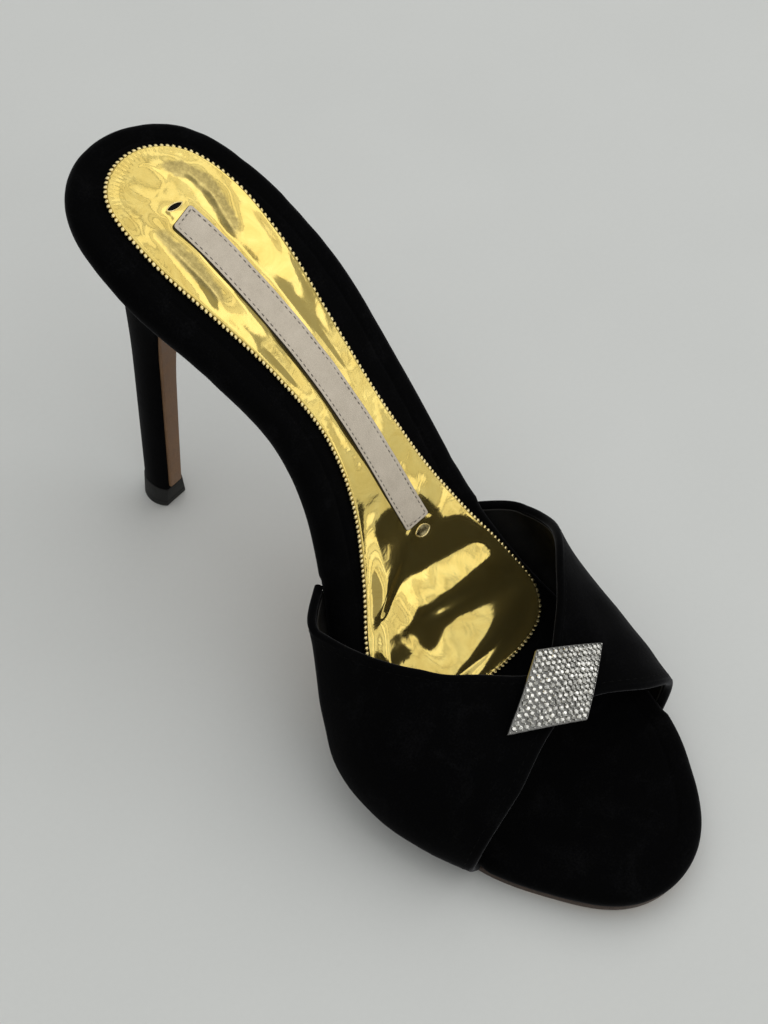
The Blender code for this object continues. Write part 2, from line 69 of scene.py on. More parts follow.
def smoothRows(rows, station):
    # smooth curve through evenly spaced rows; station runs 0 to 1 down them
    rows = np.asarray(rows, float)
    padded = np.vstack((2 * rows[0] - rows[1], rows, 2 * rows[-1] - rows[-2]))
    place = np.clip(np.asarray(station, float), 0, 1) * (len(rows) - 1)
    low = np.minimum(place.astype(int), len(rows) - 2)
    part = (place - low)[..., None]
    before, start, end, after = (padded[low + step] for step in range(4))
    square, cube = part ** 2, part ** 3
    value = (2 * cube - 3 * square + 1) * start + (3 * square - 2 * cube) * end
    return value + (cube - 2 * square + part) * (end - before) / 2 + (cube - square) * (after - start) / 2


def smoothStep(low, high, value):
    part = np.clip((value - low) / (high - low), 0, 1)
    return part * part * (3 - 2 * part)


def stationAt(distance):
    return np.arccos(1 - 2 * np.clip(np.asarray(distance, float) / last["length"], 0, 1)) / math.pi


def shareAt(station):
    return 0.5 * (1 - np.cos(math.pi * np.asarray(station, float)))


def walkLast():
    step = last["length"] / last["walkSteps"]
    middle = (np.arange(last["walkSteps"]) + 0.5) * step
    slope, turn = np.radians(smoothRows(last["sections"], stationAt(middle))[:, 2:].T)
    moves = np.stack((np.cos(slope) * np.sin(turn), -np.cos(slope) * np.cos(turn), -np.sin(slope)), 1)
    return np.vstack((np.zeros(3), np.cumsum(moves * step, 0)))


centreLine = walkLast()
ground = centreLine[:, 2].min() - last["soleDepth"] + last["treadFlat"]


def lastFrame(distance):
    distance = np.asarray(distance, float)
    marks = np.linspace(0, last["length"], len(centreLine))
    origin = np.stack([np.interp(distance, marks, centreLine[:, axis]) for axis in range(3)], -1)
    angles = np.radians(smoothRows(last["sections"], stationAt(distance)))
    slope, turn = angles[..., 2], angles[..., 3]
    cross = np.stack((np.cos(turn), np.sin(turn), 0 * turn), -1)
    normal = np.stack((np.sin(slope) * np.sin(turn), -np.sin(slope) * np.cos(turn), np.cos(slope)), -1)
    return origin, cross, normal


def onLast(flat):
    # flat rows hold: distance from the heel, across the shoe, height over the footbed's top
    flat = np.asarray(flat, float)
    origin, cross, normal = lastFrame(flat[..., 0])
    return origin + cross * flat[..., 1:2] + normal * flat[..., 2:3]


def onTread(flat):
    points = onLast(flat)
    points[..., 2] = np.maximum(points[..., 2], ground)
    return points


vamp = {
    "wall": 2.2, "gap": 0.3, "ramp": 4.0, "low": 3.5, "archShare": 0.75,
    "first": 0.45, "last": 0.95,
    # crest over the footbed, bulge inner side, bulge outer side, crest's place across
    "sections": [
        (44.9, 17.2, 6.0, -4.9), (37.6, 9.3, 7.4, -5.2), (34.3, 12.1, 3.3, -2.1),
        (26.9, 7.6, 1.6, -0.6), (29.1, -1.4, 2.0, 1.5),
    ],
    # toe edge and throat edge as shares of the footbed, inner foot over the crest to outer foot
    "edges": [
        (0.861, 0.527), (0.871, 0.553), (0.860, 0.622), (0.823, 0.769),
        (0.852, 0.629), (0.849, 0.597), (0.850, 0.568),
    ],
    "rows": 220, "columns": 44, "rimTurns": 10,
    "turnIn": 1.1,          # velvet folded round to the inside
    "hug": 0.7, "hugRamp": 2.0,  # how far the footbed's velvet gives way beside the vamp's foot
    "stitchInset": 2.4, "stitchPitch": 2.3, "stitch": (0.7, 0.13, 0.09),
    # room inside the wall for the lining, the velvet's ripples, how far its outer face is drawn in
    "liningRoom": 0.9, "ripple": 0.10, "sink": 0.08,
    "liningColumns": 30, "pipingRadius": 0.17,
}


def footbedHalf(distance, side):
    return np.maximum(smoothRows(last["sections"], stationAt(distance))[..., 0 if side < 0 else 1], 0)


def footbedEdge(station, side, give=None, ramp=None):
    distance = shareAt(station) * last["length"]
    # the footbed draws in beside the vamp, whose outside runs flush with it
    give = vamp["wall"] + vamp["gap"] if give is None else give
    ramp = (vamp["ramp"] if ramp is None else ramp) / last["length"]
    share = distance / last["length"]
    front, back = vamp["edges"][0 if side < 0 else -1]
    inside = np.clip(np.minimum(share - back + ramp, front + ramp - share) / ramp, 0, 1)
    half = np.maximum(footbedHalf(distance, side) - give * inside, 0)
    return np.stack((distance, side * half), -1)


def wrappedEdge(station, side):
    return footbedEdge(station, side, vamp["hug"], vamp["hugRamp"])


def ringAround(edge, steps, start=0.0, columns=1):
    # flat places down the inner side to the toe, back up the outer side, then along a straight cut
    stations = start + (1 - start) * np.arange(steps + 1) / steps
    down, up = edge(stations, -1), edge(stations[-2:0:-1], 1)
    if start <= 0:
        return np.vstack((down, up))
    corner = edge(stations[:1], 1)
    part = (np.arange(columns) / columns)[:, None]
    return np.vstack((down, up, corner + (down[:1] - corner) * part))


def insetRing(ring, inset):
    along = np.roll(ring, -1, 0) - np.roll(ring, 1, 0)
    along /= np.linalg.norm(along, axis=1, keepdims=True)
    return ring + np.stack((-along[:, 1], along[:, 0]), 1) * inset


def profileRings(ring, profile):
    # one ring for each profile row (inset, height)
    return [np.column_stack((insetRing(ring, inset), np.full(len(ring), height)))
            for inset, height in profile]


def bandFaces(levels, count, looped=False):
    # quads between closed rings of count points each; a looped stack joins its last ring to its first
    faces = []
    for level in range(levels if looped else levels - 1):
        low, high = level * count, (level + 1) % levels * count
        for index in range(count):
            after = (index + 1) % count
            faces.append((low + index, low + after, high + after, high + index))
    return faces


def sheetFaces(rows, end):
    # quads between rows of point numbers, closed to one point past the last row
    faces = [(row[k], row[k + 1], after[k + 1], after[k])
             for row, after in zip(rows, rows[1:]) for k in range(len(row) - 1)]
    return faces + [(rows[-1][k], rows[-1][k + 1], end) for k in range(len(rows[-1]) - 1)]


def placesBetween(first, second, count):
    # even places between two points, without the points themselves
    return first + (second - first) * (np.arange(1, count) / count)[:, None]


def stackedLoops(loops):
    # a solid through a stack of rings, closed flat at both ends
    count, total = len(loops[0]), len(loops) * len(loops[0])
    ends = [tuple(range(count)), tuple(range(total - count, total))]
    return np.vstack(loops), bandFaces(len(loops), count) + ends


def layeredSlab(ring, profile, steps, columns, start=0.0, top=None):
    # a layer that follows the last: profile rows (inset, height) run from its top to its bottom
    count, levels = len(ring), len(profile)
    flats = profileRings(ring, profile)
    faces = bandFaces(levels, count)
    total = count * levels
    for level in (0, levels - 1):
        rim, base = flats[level], level * count
        rows, inner = [], []
        if start > 0:       # the straight cut's own points are the first row
            rows.append([base, *range(base + 2 * steps + columns - 1, base + 2 * steps - 1, -1)])
        for index in range(1, steps):
            inner.append(placesBetween(rim[index], rim[2 * steps - index], columns))
            rows.append([base + index, *range(total, total + columns - 1), base + 2 * steps - index])
            total += columns - 1
        inner = np.vstack(inner)
        if top is not None and level == 0:
            inner[:, 2] += top(inner)
        flats.append(inner)
        faces += sheetFaces(rows, base + steps)
        if start <= 0:
            faces += [(rows[0][c + 1], rows[0][c], base) for c in range(columns)]
    return np.vstack(flats), faces


def roundedProfile(top, thickness, radius, turns):
    turn = quarterTurn * np.arange(turns + 1) / turns
    upper = np.stack((radius * (1 - np.sin(turn)), top - radius * (1 - np.cos(turn))), 1)
    lower = np.stack((radius * (1 - np.cos(turn)), top - thickness + radius * (1 - np.sin(turn))), 1)
    return np.vstack((upper, lower))


def waves(seed, length, count, spread=0.35):
    # a smooth uneven surface: many faint ripples of about one length, in all directions
    dice = np.random.default_rng(seed)
    heading = dice.uniform(0, math.pi, count)
    size = 2 * math.pi / (length * dice.uniform(1 - spread, 1 + spread, count))
    phase = dice.uniform(0, 2 * math.pi, count)

    def height(flat):
        run = flat[:, :1] * np.cos(heading) + flat[:, 1:2] * np.sin(heading)
        return np.cos(run * size + phase).sum(1) * math.sqrt(2 / count)

    return height


def footbedCentre():
    # middle of the footbed's own box, to find where the frame has put the shoe
    ring = ringAround(footbedEdge, 44)
    profile = roundedProfile(0.0, last["thickness"], 3.4, 3)
    points = onLast(np.vstack(profileRings(ring, profile)))
    return (points.min(0) + points.max(0)) / 2


footbedBox = np.array([list(corner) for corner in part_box("footbed")]) / mm
shoeOffset = footbedBox.mean(0) - footbedCentre()
shoeOffset[2] = -ground
print("last laid, offset", np.round(shoeOffset, 3))


def newFinish(name, sockets):
    finish = bpy.data.materials.new(name)
    finish.use_nodes = True
    shader = finish.node_tree.nodes["Principled BSDF"]
    for socket, value in sockets.items():
        shader.inputs[socket].default_value = (*value, 1.0) if isinstance(value, tuple) else value
    return finish


def addNode(finish, kind, sockets=None, **settings):
    # a node with its settings; a socket takes a number, or an output of another node
    node = finish.node_tree.nodes.new(kind)
    for name, value in settings.items():
        setattr(node, name, value)
    for socket, value in (sockets or {}).items():
        if isinstance(value, bpy.types.NodeSocket):
            finish.node_tree.links.new(value, node.inputs[socket])
        else:
            node.inputs[socket].default_value = value
    return node


def placeOn(finish):
    return addNode(finish, "ShaderNodeTexCoord").outputs["Object"]


def noiseOn(finish, size, detail=2.0, roughness=0.5, distortion=0.0):
    # noise whose features are about this many millimetres across
    sockets = {"Vector": placeOn(finish), "Scale": 1 / (size * mm), "Detail": detail, "Roughness": roughness,
               "Distortion": distortion}
    return addNode(finish, "ShaderNodeTexNoise", sockets).outputs["Fac"]


def spanOn(finish, value, low, high, start=0.3, stop=0.7, **settings):
    # a value from start to stop, spread over low to high
    sockets = {"Value": value, "From Min": start, "From Max": stop, "To Min": low, "To Max": high}
    return addNode(finish, "ShaderNodeMapRange", sockets, **settings).outputs["Result"]


def grainOn(finish, size):
    # leather grain: small cells with creases between them
    sockets = {"Vector": placeOn(finish), "Scale": 1 / (size * mm)}
    cells = addNode(finish, "ShaderNodeTexVoronoi", sockets, feature="DISTANCE_TO_EDGE").outputs["Distance"]
    return spanOn(finish, cells, 0.0, 1.0, 0.0, 0.18)


def rampOn(finish, value, stops):
    ramp = addNode(finish, "ShaderNodeValToRGB", {"Fac": value})
    while len(ramp.color_ramp.elements) < len(stops):
        ramp.color_ramp.elements.new(0.5)
    for element, (position, colour) in zip(ramp.color_ramp.elements, stops):
        element.position = position
        element.color = (*colour, 1.0)
    return ramp.outputs["Color"]


def mixOn(finish, first, second, share):
    sockets = {"Factor": share, "A": first, "B": second}
    return addNode(finish, "ShaderNodeMix", sockets, data_type="FLOAT").outputs["Result"]


def bumpOn(finish, layers):
    # layers of (height, strength, depth in millimetres), each laid over the one before
    normal = None
    for height, strength, depth in layers:
        sockets = {"Height": height, "Strength": strength, "Distance": depth * mm}
        if normal is not None:
            sockets["Normal"] = normal
        normal = addNode(finish, "ShaderNodeBump", sockets).outputs["Normal"]
    return normal


def plug(finish, links):
    shader = finish.node_tree.nodes["Principled BSDF"]
    for socket, output in links.items():
        finish.node_tree.links.new(output, shader.inputs[socket])
    return finish


def velvetFinish(name, light=1.0):
    # close black pile: almost no light straight on, a soft grey sheen at grazing angles
    finish = newFinish(name, {
        "Specular IOR Level": 0.03, "Sheen Weight": 0.085 * light, "Sheen Roughness": 0.32,
        "Sheen Tint": (0.80, 0.80, 0.84)})
    pile = noiseOn(finish, 0.5, 3.0, 0.65)
    patches = noiseOn(finish, 7.0, 3.0, 0.55, 0.6)
    lint = noiseOn(finish, 1.6, 1.0, 0.4)
    both = mixOn(finish, pile, patches, 0.55)
    colour = rampOn(finish, both, [(0.30, (0.0006, 0.0006, 0.0007)), (0.52, (0.0014, 0.0014, 0.0016)),
                                   (0.72, (0.0046, 0.0046, 0.0050))])
    return plug(finish, {
        "Base Color": colour,
        "Roughness": spanOn(finish, patches, 0.82, 1.0),
        "Normal": bumpOn(finish, [(patches, 0.25, 0.5), (lint, 0.2, 0.12), (pile, 0.5, 0.12)])})


def vectorOn(finish, operation, sockets):
    return addNode(finish, "ShaderNodeVectorMath", sockets, operation=operation).outputs["Vector"]


def paintedShadeOn(finish):
    # 1 inside each patch of painted shade, where a dark reflection is painted into the foil, with a wandering
    # edge
    wander = addNode(finish, "ShaderNodeTexNoise", {
        "Vector": placeOn(finish), "Scale": 1 / (foil["wanderSize"] * mm), "Detail": 3.0}).outputs["Color"]
    shift = vectorOn(finish, "SUBTRACT", {0: wander, 1: (0.5, 0.5, 0.5)})
    shift = vectorOn(finish, "SCALE", {0: shift, "Scale": foil["wander"] * mm})
    place = vectorOn(finish, "ADD", {0: placeOn(finish), 1: shift})
    value = None
    for first, second, width in foil["paintedShade"]:
        ends = (onLast(np.array([(*first, foil["height"]), (*second, foil["height"])])) + shoeOffset) * mm
        run = ends[1] - ends[0]
        inside = addNode(finish, "ShaderNodeMapping", {
            "Vector": place, "Location": tuple(ends.mean(0)),
            "Scale": (np.linalg.norm(run) / 2 + width * mm, width * mm, foil["reach"] * mm),
            "Rotation": (0.0, 0.0, math.atan2(run[1], run[0]))}, vector_type="TEXTURE").outputs["Vector"]
        patch = addNode(finish, "ShaderNodeTexGradient", {"Vector": inside},
                        gradient_type="SPHERICAL").outputs["Fac"]
        if value is not None:
            patch = addNode(finish, "ShaderNodeMath", {0: value, 1: patch},
                            operation="MAXIMUM").outputs["Value"]
        value = patch
    return spanOn(finish, value, 0.0, 1.0, 0.0, 0.35, interpolation_type="SMOOTHSTEP")


foil = {
    # places over the padding's hollows where a dark reflection is painted into the foil's colour as painted
    # shade, and the foil is a little rougher: from and to (along, across), half width
    "paintedShade": [
        ((19.5, 7.6), (24.0, 10.0), 2.6), ((23.5, 10.0), (31.0, 9.2), 3.0),
        ((30.5, 9.0), (37.5, 5.6), 2.8), ((27.0, -9.0), (44.5, -10.4), 2.6),
    ],
    "height": 1.3,          # of their middles over the footbed
    "reach": 40.0,          # how far up and down they still count
    "wanderSize": 2.2, "wander": 2.6,   # how fine and how far their edges wander
    # colours from the noise's low values to its high ones
    "bright": [(0.30, (0.77, 0.560, 0.145)), (0.46, (0.85, 0.640, 0.182)),
               (0.58, (0.90, 0.70, 0.218)), (0.75, (0.80, 0.595, 0.160))],
    # the dark colours are painted shade: the foil's dark reflections, laid into its colour inside the patches
    "dark": [(0.30, (0.43, 0.335, 0.115)), (0.50, (0.52, 0.405, 0.140)), (0.70, (0.67, 0.525, 0.19))],
}


def foilFinish():
    # gold mirror foil over soft leather: smooth, a little cloudy, with a faint grain, and patches of painted
    # shade where its dark reflections fall
    finish = newFinish("goldMirrorLeather", {
        "Metallic": 0.93, "Specular Tint": (1.0, 0.97, 0.82),
        "Coat Weight": 0.10, "Coat Roughness": 0.05, "Coat IOR": 1.4})
    marble = noiseOn(finish, 9.0, 4.0, 0.6, 2.2)
    swirl = noiseOn(finish, 6.0, 2.0, 0.45, 2.6)
    cloud = noiseOn(finish, 22.0, 2.0, 0.5)
    grain = noiseOn(finish, 0.7, 2.0, 0.5)
    mottle = noiseOn(finish, 1.1, 3.0, 0.6)
    # painted shade: inside these patches the foil's colour turns to the dark colours, standing in for dark
    # reflections
    paintedShade = paintedShadeOn(finish)
    bright = rampOn(finish, mixOn(finish, marble, cloud, 0.35), foil["bright"])
    dark = rampOn(finish, mottle, foil["dark"])
    colour = addNode(finish, "ShaderNodeMix", data_type="RGBA")
    for socket, output in ((0, paintedShade), (6, bright), (7, dark)):
        finish.node_tree.links.new(output, colour.inputs[socket])
    rough = addNode(finish, "ShaderNodeMath", {
        0: spanOn(finish, cloud, 0.07, 0.12), 1: spanOn(finish, paintedShade, 0.0, 0.09)}, operation="ADD")
    return plug(finish, {
        "Base Color": colour.outputs[2],
        "Roughness": rough.outputs["Value"],
        "Normal": bumpOn(finish, [(swirl, 0.10, 0.22), (grain, 0.06, 0.03)])})


def leatherFinish(name, colours, roughness, grain, depth, specular=0.4):
    finish = newFinish(name, {"Specular IOR Level": specular})
    tone = noiseOn(finish, 4.0, 4.0, 0.6)
    cells = grainOn(finish, grain)
    fine = noiseOn(finish, grain * 0.4, 2.0, 0.6)
    colour = rampOn(finish, mixOn(finish, tone, cells, 0.25), list(zip((0.25, 0.5, 0.8), colours)))
    return plug(finish, {
        "Base Color": colour,
        "Roughness": spanOn(finish, tone, roughness - 0.08, roughness + 0.08),
        "Normal": bumpOn(finish, [(cells, 0.5, depth), (fine, 0.3, depth * 0.5)])})


def metalFinish(name, colours, roughness):
    finish = newFinish(name, {"Metallic": 1.0})
    worn = noiseOn(finish, 1.2, 3.0, 0.6)
    return plug(finish, {
        "Base Color": rampOn(finish, worn, [(0.3, colours[0]), (0.7, colours[1])]),
        "Roughness": spanOn(finish, worn, roughness, roughness * 2),
        "Normal": bumpOn(finish, [(worn, 0.08, 0.02)])})


def threadFinish(name, colours, sheen=0.15):
    finish = newFinish(name, {"Sheen Weight": sheen, "Specular IOR Level": 2 * sheen})
    twist = noiseOn(finish, 0.18, 2.0, 0.6)
    return plug(finish, {
        "Base Color": rampOn(finish, twist, [(0.3, colours[0]), (0.7, colours[1])]),
        "Roughness": spanOn(finish, twist, 0.6, 0.85),
        "Normal": bumpOn(finish, [(twist, 0.5, 0.05)])})


blackVelvet = velvetFinish("blackVelvet")
rimVelvet = velvetFinish("blackVelvetFold", 2.6)
goldLeather = foilFinish()
goldEdge = metalFinish("goldEdgeFoil", ((0.86, 0.67, 0.28), (1.0, 0.86, 0.46)), 0.20)
patchLeather = leatherFinish(
    "greigeLeather", ((0.55, 0.475, 0.375), (0.63, 0.55, 0.44), (0.70, 0.615, 0.50)), 0.55, 0.45, 0.04)
# near black: the cut edge's own dark colour, with painted shade of the gap where the label meets the gold
patchEdgeAndShade = leatherFinish(
    "greigeCutEdgeAndShade", ((0.012, 0.010, 0.007), (0.020, 0.017, 0.012), (0.035, 0.028, 0.020)), 0.7, 0.3, 0.03)
liningLeather = leatherFinish(
    "blackLiningLeather", ((0.0018, 0.0017, 0.0015), (0.0032, 0.0029, 0.0026), (0.0065, 0.0060, 0.0052)),
    0.5, 0.6, 0.05, 0.25)
pipingLeather = leatherFinish(
    "liningCutEdge", ((0.007, 0.006, 0.005), (0.011, 0.010, 0.008), (0.018, 0.016, 0.013)), 0.6, 0.3, 0.02)
breastLeather = leatherFinish(
    "tanStripLeather", ((0.155, 0.078, 0.034), (0.200, 0.104, 0.047), (0.250, 0.140, 0.068)), 0.45, 0.7, 0.03)
soleLeather = leatherFinish(
    "tanSoleLeather", ((0.30, 0.185, 0.11), (0.40, 0.26, 0.16), (0.50, 0.34, 0.225)), 0.42, 0.5, 0.03)
soleEdgePaint = leatherFinish(
    "soleEdgePaint", ((0.030, 0.018, 0.012), (0.050, 0.030, 0.021), (0.075, 0.048, 0.034)), 0.35, 0.8, 0.02)
liftRubber = leatherFinish(
    "liftRubber", ((0.004, 0.004, 0.0037), (0.007, 0.007, 0.0065), (0.012, 0.012, 0.011)),
    0.62, 0.4, 0.03, 0.3)
silver = metalFinish("silverSetting", ((0.66, 0.65, 0.62), (0.92, 0.91, 0.87)), 0.12)
blackThread = threadFinish("blackThread", ((0.0008, 0.0008, 0.0008), (0.0025, 0.0025, 0.0025)), 0.02)
greyThread = threadFinish("greyThread", ((0.11, 0.095, 0.08), (0.22, 0.195, 0.165)))
# near black: painted shade for the inside of the heel slit
slitShade = leatherFinish(
    "slitShade", ((0.002, 0.002, 0.002), (0.004, 0.004, 0.003), (0.008, 0.007, 0.006)), 0.8, 0.5, 0.02, 0.1)
crystal = metalFinish("cutCrystal", ((0.50, 0.49, 0.455), (0.97, 0.955, 0.90)), 0.04)
# kept dark: painted shade for the gaps between the stones
settingMetal = metalFinish("darkSetting", ((0.16, 0.157, 0.148), (0.30, 0.295, 0.28)), 0.25)
print("finishes mixed")


def makePiece(name, points, faces, finish, slot, replaced=(), sharp=40, where=None):
    mesh = bpy.data.meshes.new(name)
    mesh.from_pydata(((np.asarray(points) + shoeOffset) * mm).tolist(), [], [tuple(face) for face in faces])
    shape = bmesh.new()
    shape.from_mesh(mesh)
    bmesh.ops.recalc_face_normals(shape, faces=shape.faces)
    shape.to_mesh(mesh)
    shape.free()
    mesh.shade_smooth()
    mesh.set_sharp_from_angle(angle=math.radians(sharp))
    for entry in finish if isinstance(finish, (list, tuple)) else [finish]:
        mesh.materials.append(entry)
    if where is not None:
        mesh.polygons.foreach_set("material_index", np.asarray(where, np.int32))
    piece = bpy.data.objects.new(name, mesh)
    bpy.context.collection.objects.link(piece)
    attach(piece, "root")
    if replaced:
        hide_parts(*replaced)
    print("made", name, len(mesh.polygons), "faces")
    return piece


def unitGrain(rings, segments):
    # points and faces of a small closed round grain
    points, faces = [(0, 0, 1)], []
    for ring in range(1, rings):
        tilt = math.pi * ring / rings
        for segment in range(segments):
            turn = 2 * math.pi * segment / segments
            points.append((math.sin(tilt) * math.cos(turn), math.sin(tilt) * math.sin(turn), math.cos(tilt)))
    points.append((0, 0, -1))
    for segment in range(segments):
        after = (segment + 1) % segments
        faces.append((0, 1 + segment, 1 + after))
        for ring in range(rings - 2):
            low = 1 + ring * segments
            faces.append((low + segment, low + segments + segment, low + segments + after, low + after))
        low = 1 + (rings - 2) * segments
        faces.append((low + segment, len(points) - 1, low + after))
    return np.array(points, float), faces


def scatter(shape, centres, axes):
    # one copy of a small shape at each centre; axes hold its three scaled directions
    points, faces = shape
    laid = np.einsum("pk,nkx->npx", points, axes) + centres[:, None, :]
    count = len(points)
    every = [tuple(corner + count * copy for corner in face)
             for copy in range(len(centres)) for face in faces]
    return laid.reshape(-1, 3), every


def joined(parts):
    points, faces, base = [], [], 0
    for partPoints, partFaces in parts:
        points.append(partPoints)
        faces += [tuple(corner + base for corner in face) for face in partFaces]
        base += len(partPoints)
    return np.vstack(points), faces


def evenly(path, pitch, closed=False):
    # places at an even pitch along a path, with their directions
    path = np.vstack((path, path[:1])) if closed else path
    marks = np.concatenate(([0], np.cumsum(np.linalg.norm(np.diff(path, axis=0), axis=1))))
    count = max(int(round(marks[-1] / pitch)), 1)
    at = (np.arange(count) + 0.5) * marks[-1] / count
    near = 0.05 * pitch

    def pick(where):
        return np.stack([np.interp(where, marks, path[:, k]) for k in range(path.shape[1])], 1)

    return pick(at), unit(pick(np.minimum(at + near, marks[-1])) - pick(at - near))


def unit(vectors):
    return vectors / np.linalg.norm(vectors, axis=-1, keepdims=True)


def cordAlong(path, ups, radius, sides=8, closed=False):
    # a thin round cord along a path; ups point away from the surface it lies on
    along = np.roll(path, -1, 0) - np.roll(path, 1, 0) if closed else np.gradient(path, axis=0)
    aside = unit(np.cross(along, ups))
    up = unit(np.cross(aside, along))
    turn = 2 * math.pi * np.arange(sides) / sides
    ring = aside[:, None] * np.cos(turn)[None, :, None] + up[:, None] * np.sin(turn)[None, :, None]
    loops = path[:, None] + ring * radius
    return (loops.reshape(-1, 3), bandFaces(len(path), sides, True)) if closed else stackedLoops(loops)


def laidGrains(grain, places, along, up, sizes):
    # stitches or beads lying along a line; sizes are half the length, width and height
    aside = unit(np.cross(along, up))
    axes = np.stack((along * sizes[0], aside * sizes[1], np.cross(aside, along) * sizes[2]), 1)
    return scatter(grain, places, axes)


# the velvet-wrapped footbed
footbed = {
    "edgeRadius": 3.4,
    "edgeTurns": 9,
    "creaseInset": 6.2,     # a faint line pressed in beside the edge
    # the line's section: how far inward of its middle, and depth
    "crease": [(2.0, 0.0), (0.9, 0.02), (0.35, 0.14), (0.0, 0.28), (-0.35, 0.14), (-0.9, 0.02), (-1.6, 0.0)],
    "unevenness": 0.10,
    "steps": 240,
    "columns": 22,
}


def makeFootbed():
    ring = ringAround(wrappedEdge, footbed["steps"])
    groove = [(footbed["creaseInset"] + inward, -depth) for inward, depth in footbed["crease"]]
    edge = roundedProfile(0.0, last["thickness"], footbed["edgeRadius"], footbed["edgeTurns"])
    profile = np.vstack((groove, edge))
    flat, faces = layeredSlab(ring, profile, footbed["steps"], footbed["columns"])
    soft = waves(11, 9.0, 26)(flat) * footbed["unevenness"] * smoothStep(-last["thickness"], -3.0, flat[:, 2])
    flat[:, 2] += np.minimum(soft, 0.05)
    makePiece("footbedCover", onLast(flat), faces, blackVelvet, "velvet", ["footbed"], 60)


makeFootbed()


# the gold insole sock, lightly padded
sock = {
    "start": 0.037, "end": 0.716, "top": 1.2, "bottom": -0.1, "edgeRadius": 0.45,
    "sections": [
        (0.0, 0.0), (8.6, 9.0), (14.1, 15.1), (16.8, 16.2), (15.6, 13.9), (12.5, 10.3), (9.6, 9.9),
        (10.8, 13.4), (16.1, 19.4), (24.0, 24.9), (27.8, 26.3), (29.3, 19.0), (0.0, 0.0),
    ],
    "steps": 330, "columns": 76, "inset": 0.6,
    "crown": 0.30, "crownWidth": 12.0,
    "warps": [(3, 21.0, 0.10), (4, 9.0, 0.026)],
    # folds across the ball: where each begins and ends along the middle, each with how much further on
    # per mm toward the outer side; its slope at the inner side, middle and outer side; the length of its
    # far side, and how much longer that is at the inner side
    "folds": [
        (113.0, 0.0, 126.6, -0.60, (0.095, 0.03, 0.0), 3.6, 0.0),
        (135.8, 0.20, 144.8, 0.05, (0.12, 0.175, 0.21), 8.5, 3.5),
        (149.6, 0.24, 161.2, -0.22, (0.13, 0.21, 0.30), 9.0, 0.0),
    ],
    "hollow": (126.0, 136.5, 0.45),         # the drop in front of the folds: start, end, depth
    "ghost": (17.1, 0.2, 3.5, 4.6, 0.09),   # a faint squarish impression: place, half sizes, depth
    # soft hollows in the padding: from and to (along, across), half width, depth
    "hollows": [
        ((19.0, 7.4), (24.0, 10.0), 1.9, 0.22), ((24.0, 10.0), (30.5, 9.2), 2.2, 0.34),
        ((30.5, 9.2), (37.5, 5.6), 2.0, 0.30), ((26.5, -8.9), (45.0, -10.4), 1.8, 0.34),
        ((58.0, 5.2), (84.0, 6.4), 1.6, 0.10), ((24.3, -5.9), (24.9, -5.0), 1.7, -0.34),
    ],
    "beside": (7.6, 3.2, 0.10),             # a dip either side of the label: how far off, width, depth
    "puckerPitch": 1.32, "puckerDepth": 0.05,
    "labelDip": 0.22,
    "beadLength": 1.06, "beadWidth": 1.12, "beadHeight": 0.82, "beadInset": 0.46, "beadLift": 0.62,
    "beadLean": 0.25, "beadSquareness": 0.82,
}
label = {
    "width": 7.9, "length": 97.5, "corner": 0.8, "start": 0.116,
    "across": [(-1.8,), (-2.5,), (-1.3,), (1.3,), (4.8,)],
    "top": 1.80, "bottom": 0.9, "edgeRadius": 0.18, "steps": 250, "columns": 12,
    "stitchInset": 0.85, "stitchPitch": 1.55, "stitch": (0.5, 0.15, 0.09),
    # the line pressed by the stitches: how far inward of it, and depth
    "groove": [(0.5, 0.0), (0.0, 0.05), (-0.4, 0.0)], "unevenness": 0.03,
}
# slits: place along and across, half length, half width, turn in degrees
slits = {
    "slitHeel": (25.1, -0.8, 2.4, 0.72, 73.0),
    "slitToe": (127.8, 5.4, 2.3, 1.5, 80.0),
}


def sockEdge(station, side):
    half = smoothRows(sock["sections"], station)[..., 0 if side < 0 else 1]
    share = sock["start"] + (sock["end"] - sock["start"]) * shareAt(station)
    return np.stack((share * last["length"], side * np.maximum(half, 0)), -1)


def labelMiddle(distance):
    share = (distance / last["length"] - label["start"]) * last["length"] / label["length"]
    return smoothRows(label["across"], share)[..., 0]


def insideLabel(flat):
    # how far inside the label's outline a place lies; negative outside
    start = label["start"] * last["length"]
    beside = label["width"] / 2 - np.abs(flat[:, 1] - labelMiddle(flat[:, 0]))
    beyond = np.minimum(flat[:, 0] - start, start + label["length"] - flat[:, 0])
    return np.minimum(beside, beyond)


def slitReach(flat, slit):
    # 1 on the slit's outline, 0 at its middle
    along, across, half, width, turn = slit
    cosine, sine = math.cos(math.radians(turn)), math.sin(math.radians(turn))
    run = (flat[:, 0] - along) * cosine + (flat[:, 1] - across) * sine
    aside = -(flat[:, 0] - along) * sine + (flat[:, 1] - across) * cosine
    return np.hypot(run / half, aside / width)


sockRing = ringAround(sockEdge, sock["steps"])
sockSheet = insetRing(sockRing, sock["inset"])


def nearest(ring, flat):
    # how far flat places lie from an outline, and how far round it their nearest place is
    marks = np.cumsum(np.linalg.norm(np.roll(ring, -1, 0) - ring, axis=1))
    tree = KDTree(len(ring))
    for index, (along, across) in enumerate(ring):
        tree.insert((along, across, 0), index)
    tree.balance()
    found = [tree.find((along, across, 0)) for along, across in flat[:, :2]]
    return np.array([hit[2] for hit in found]), marks[[hit[1] for hit in found]]


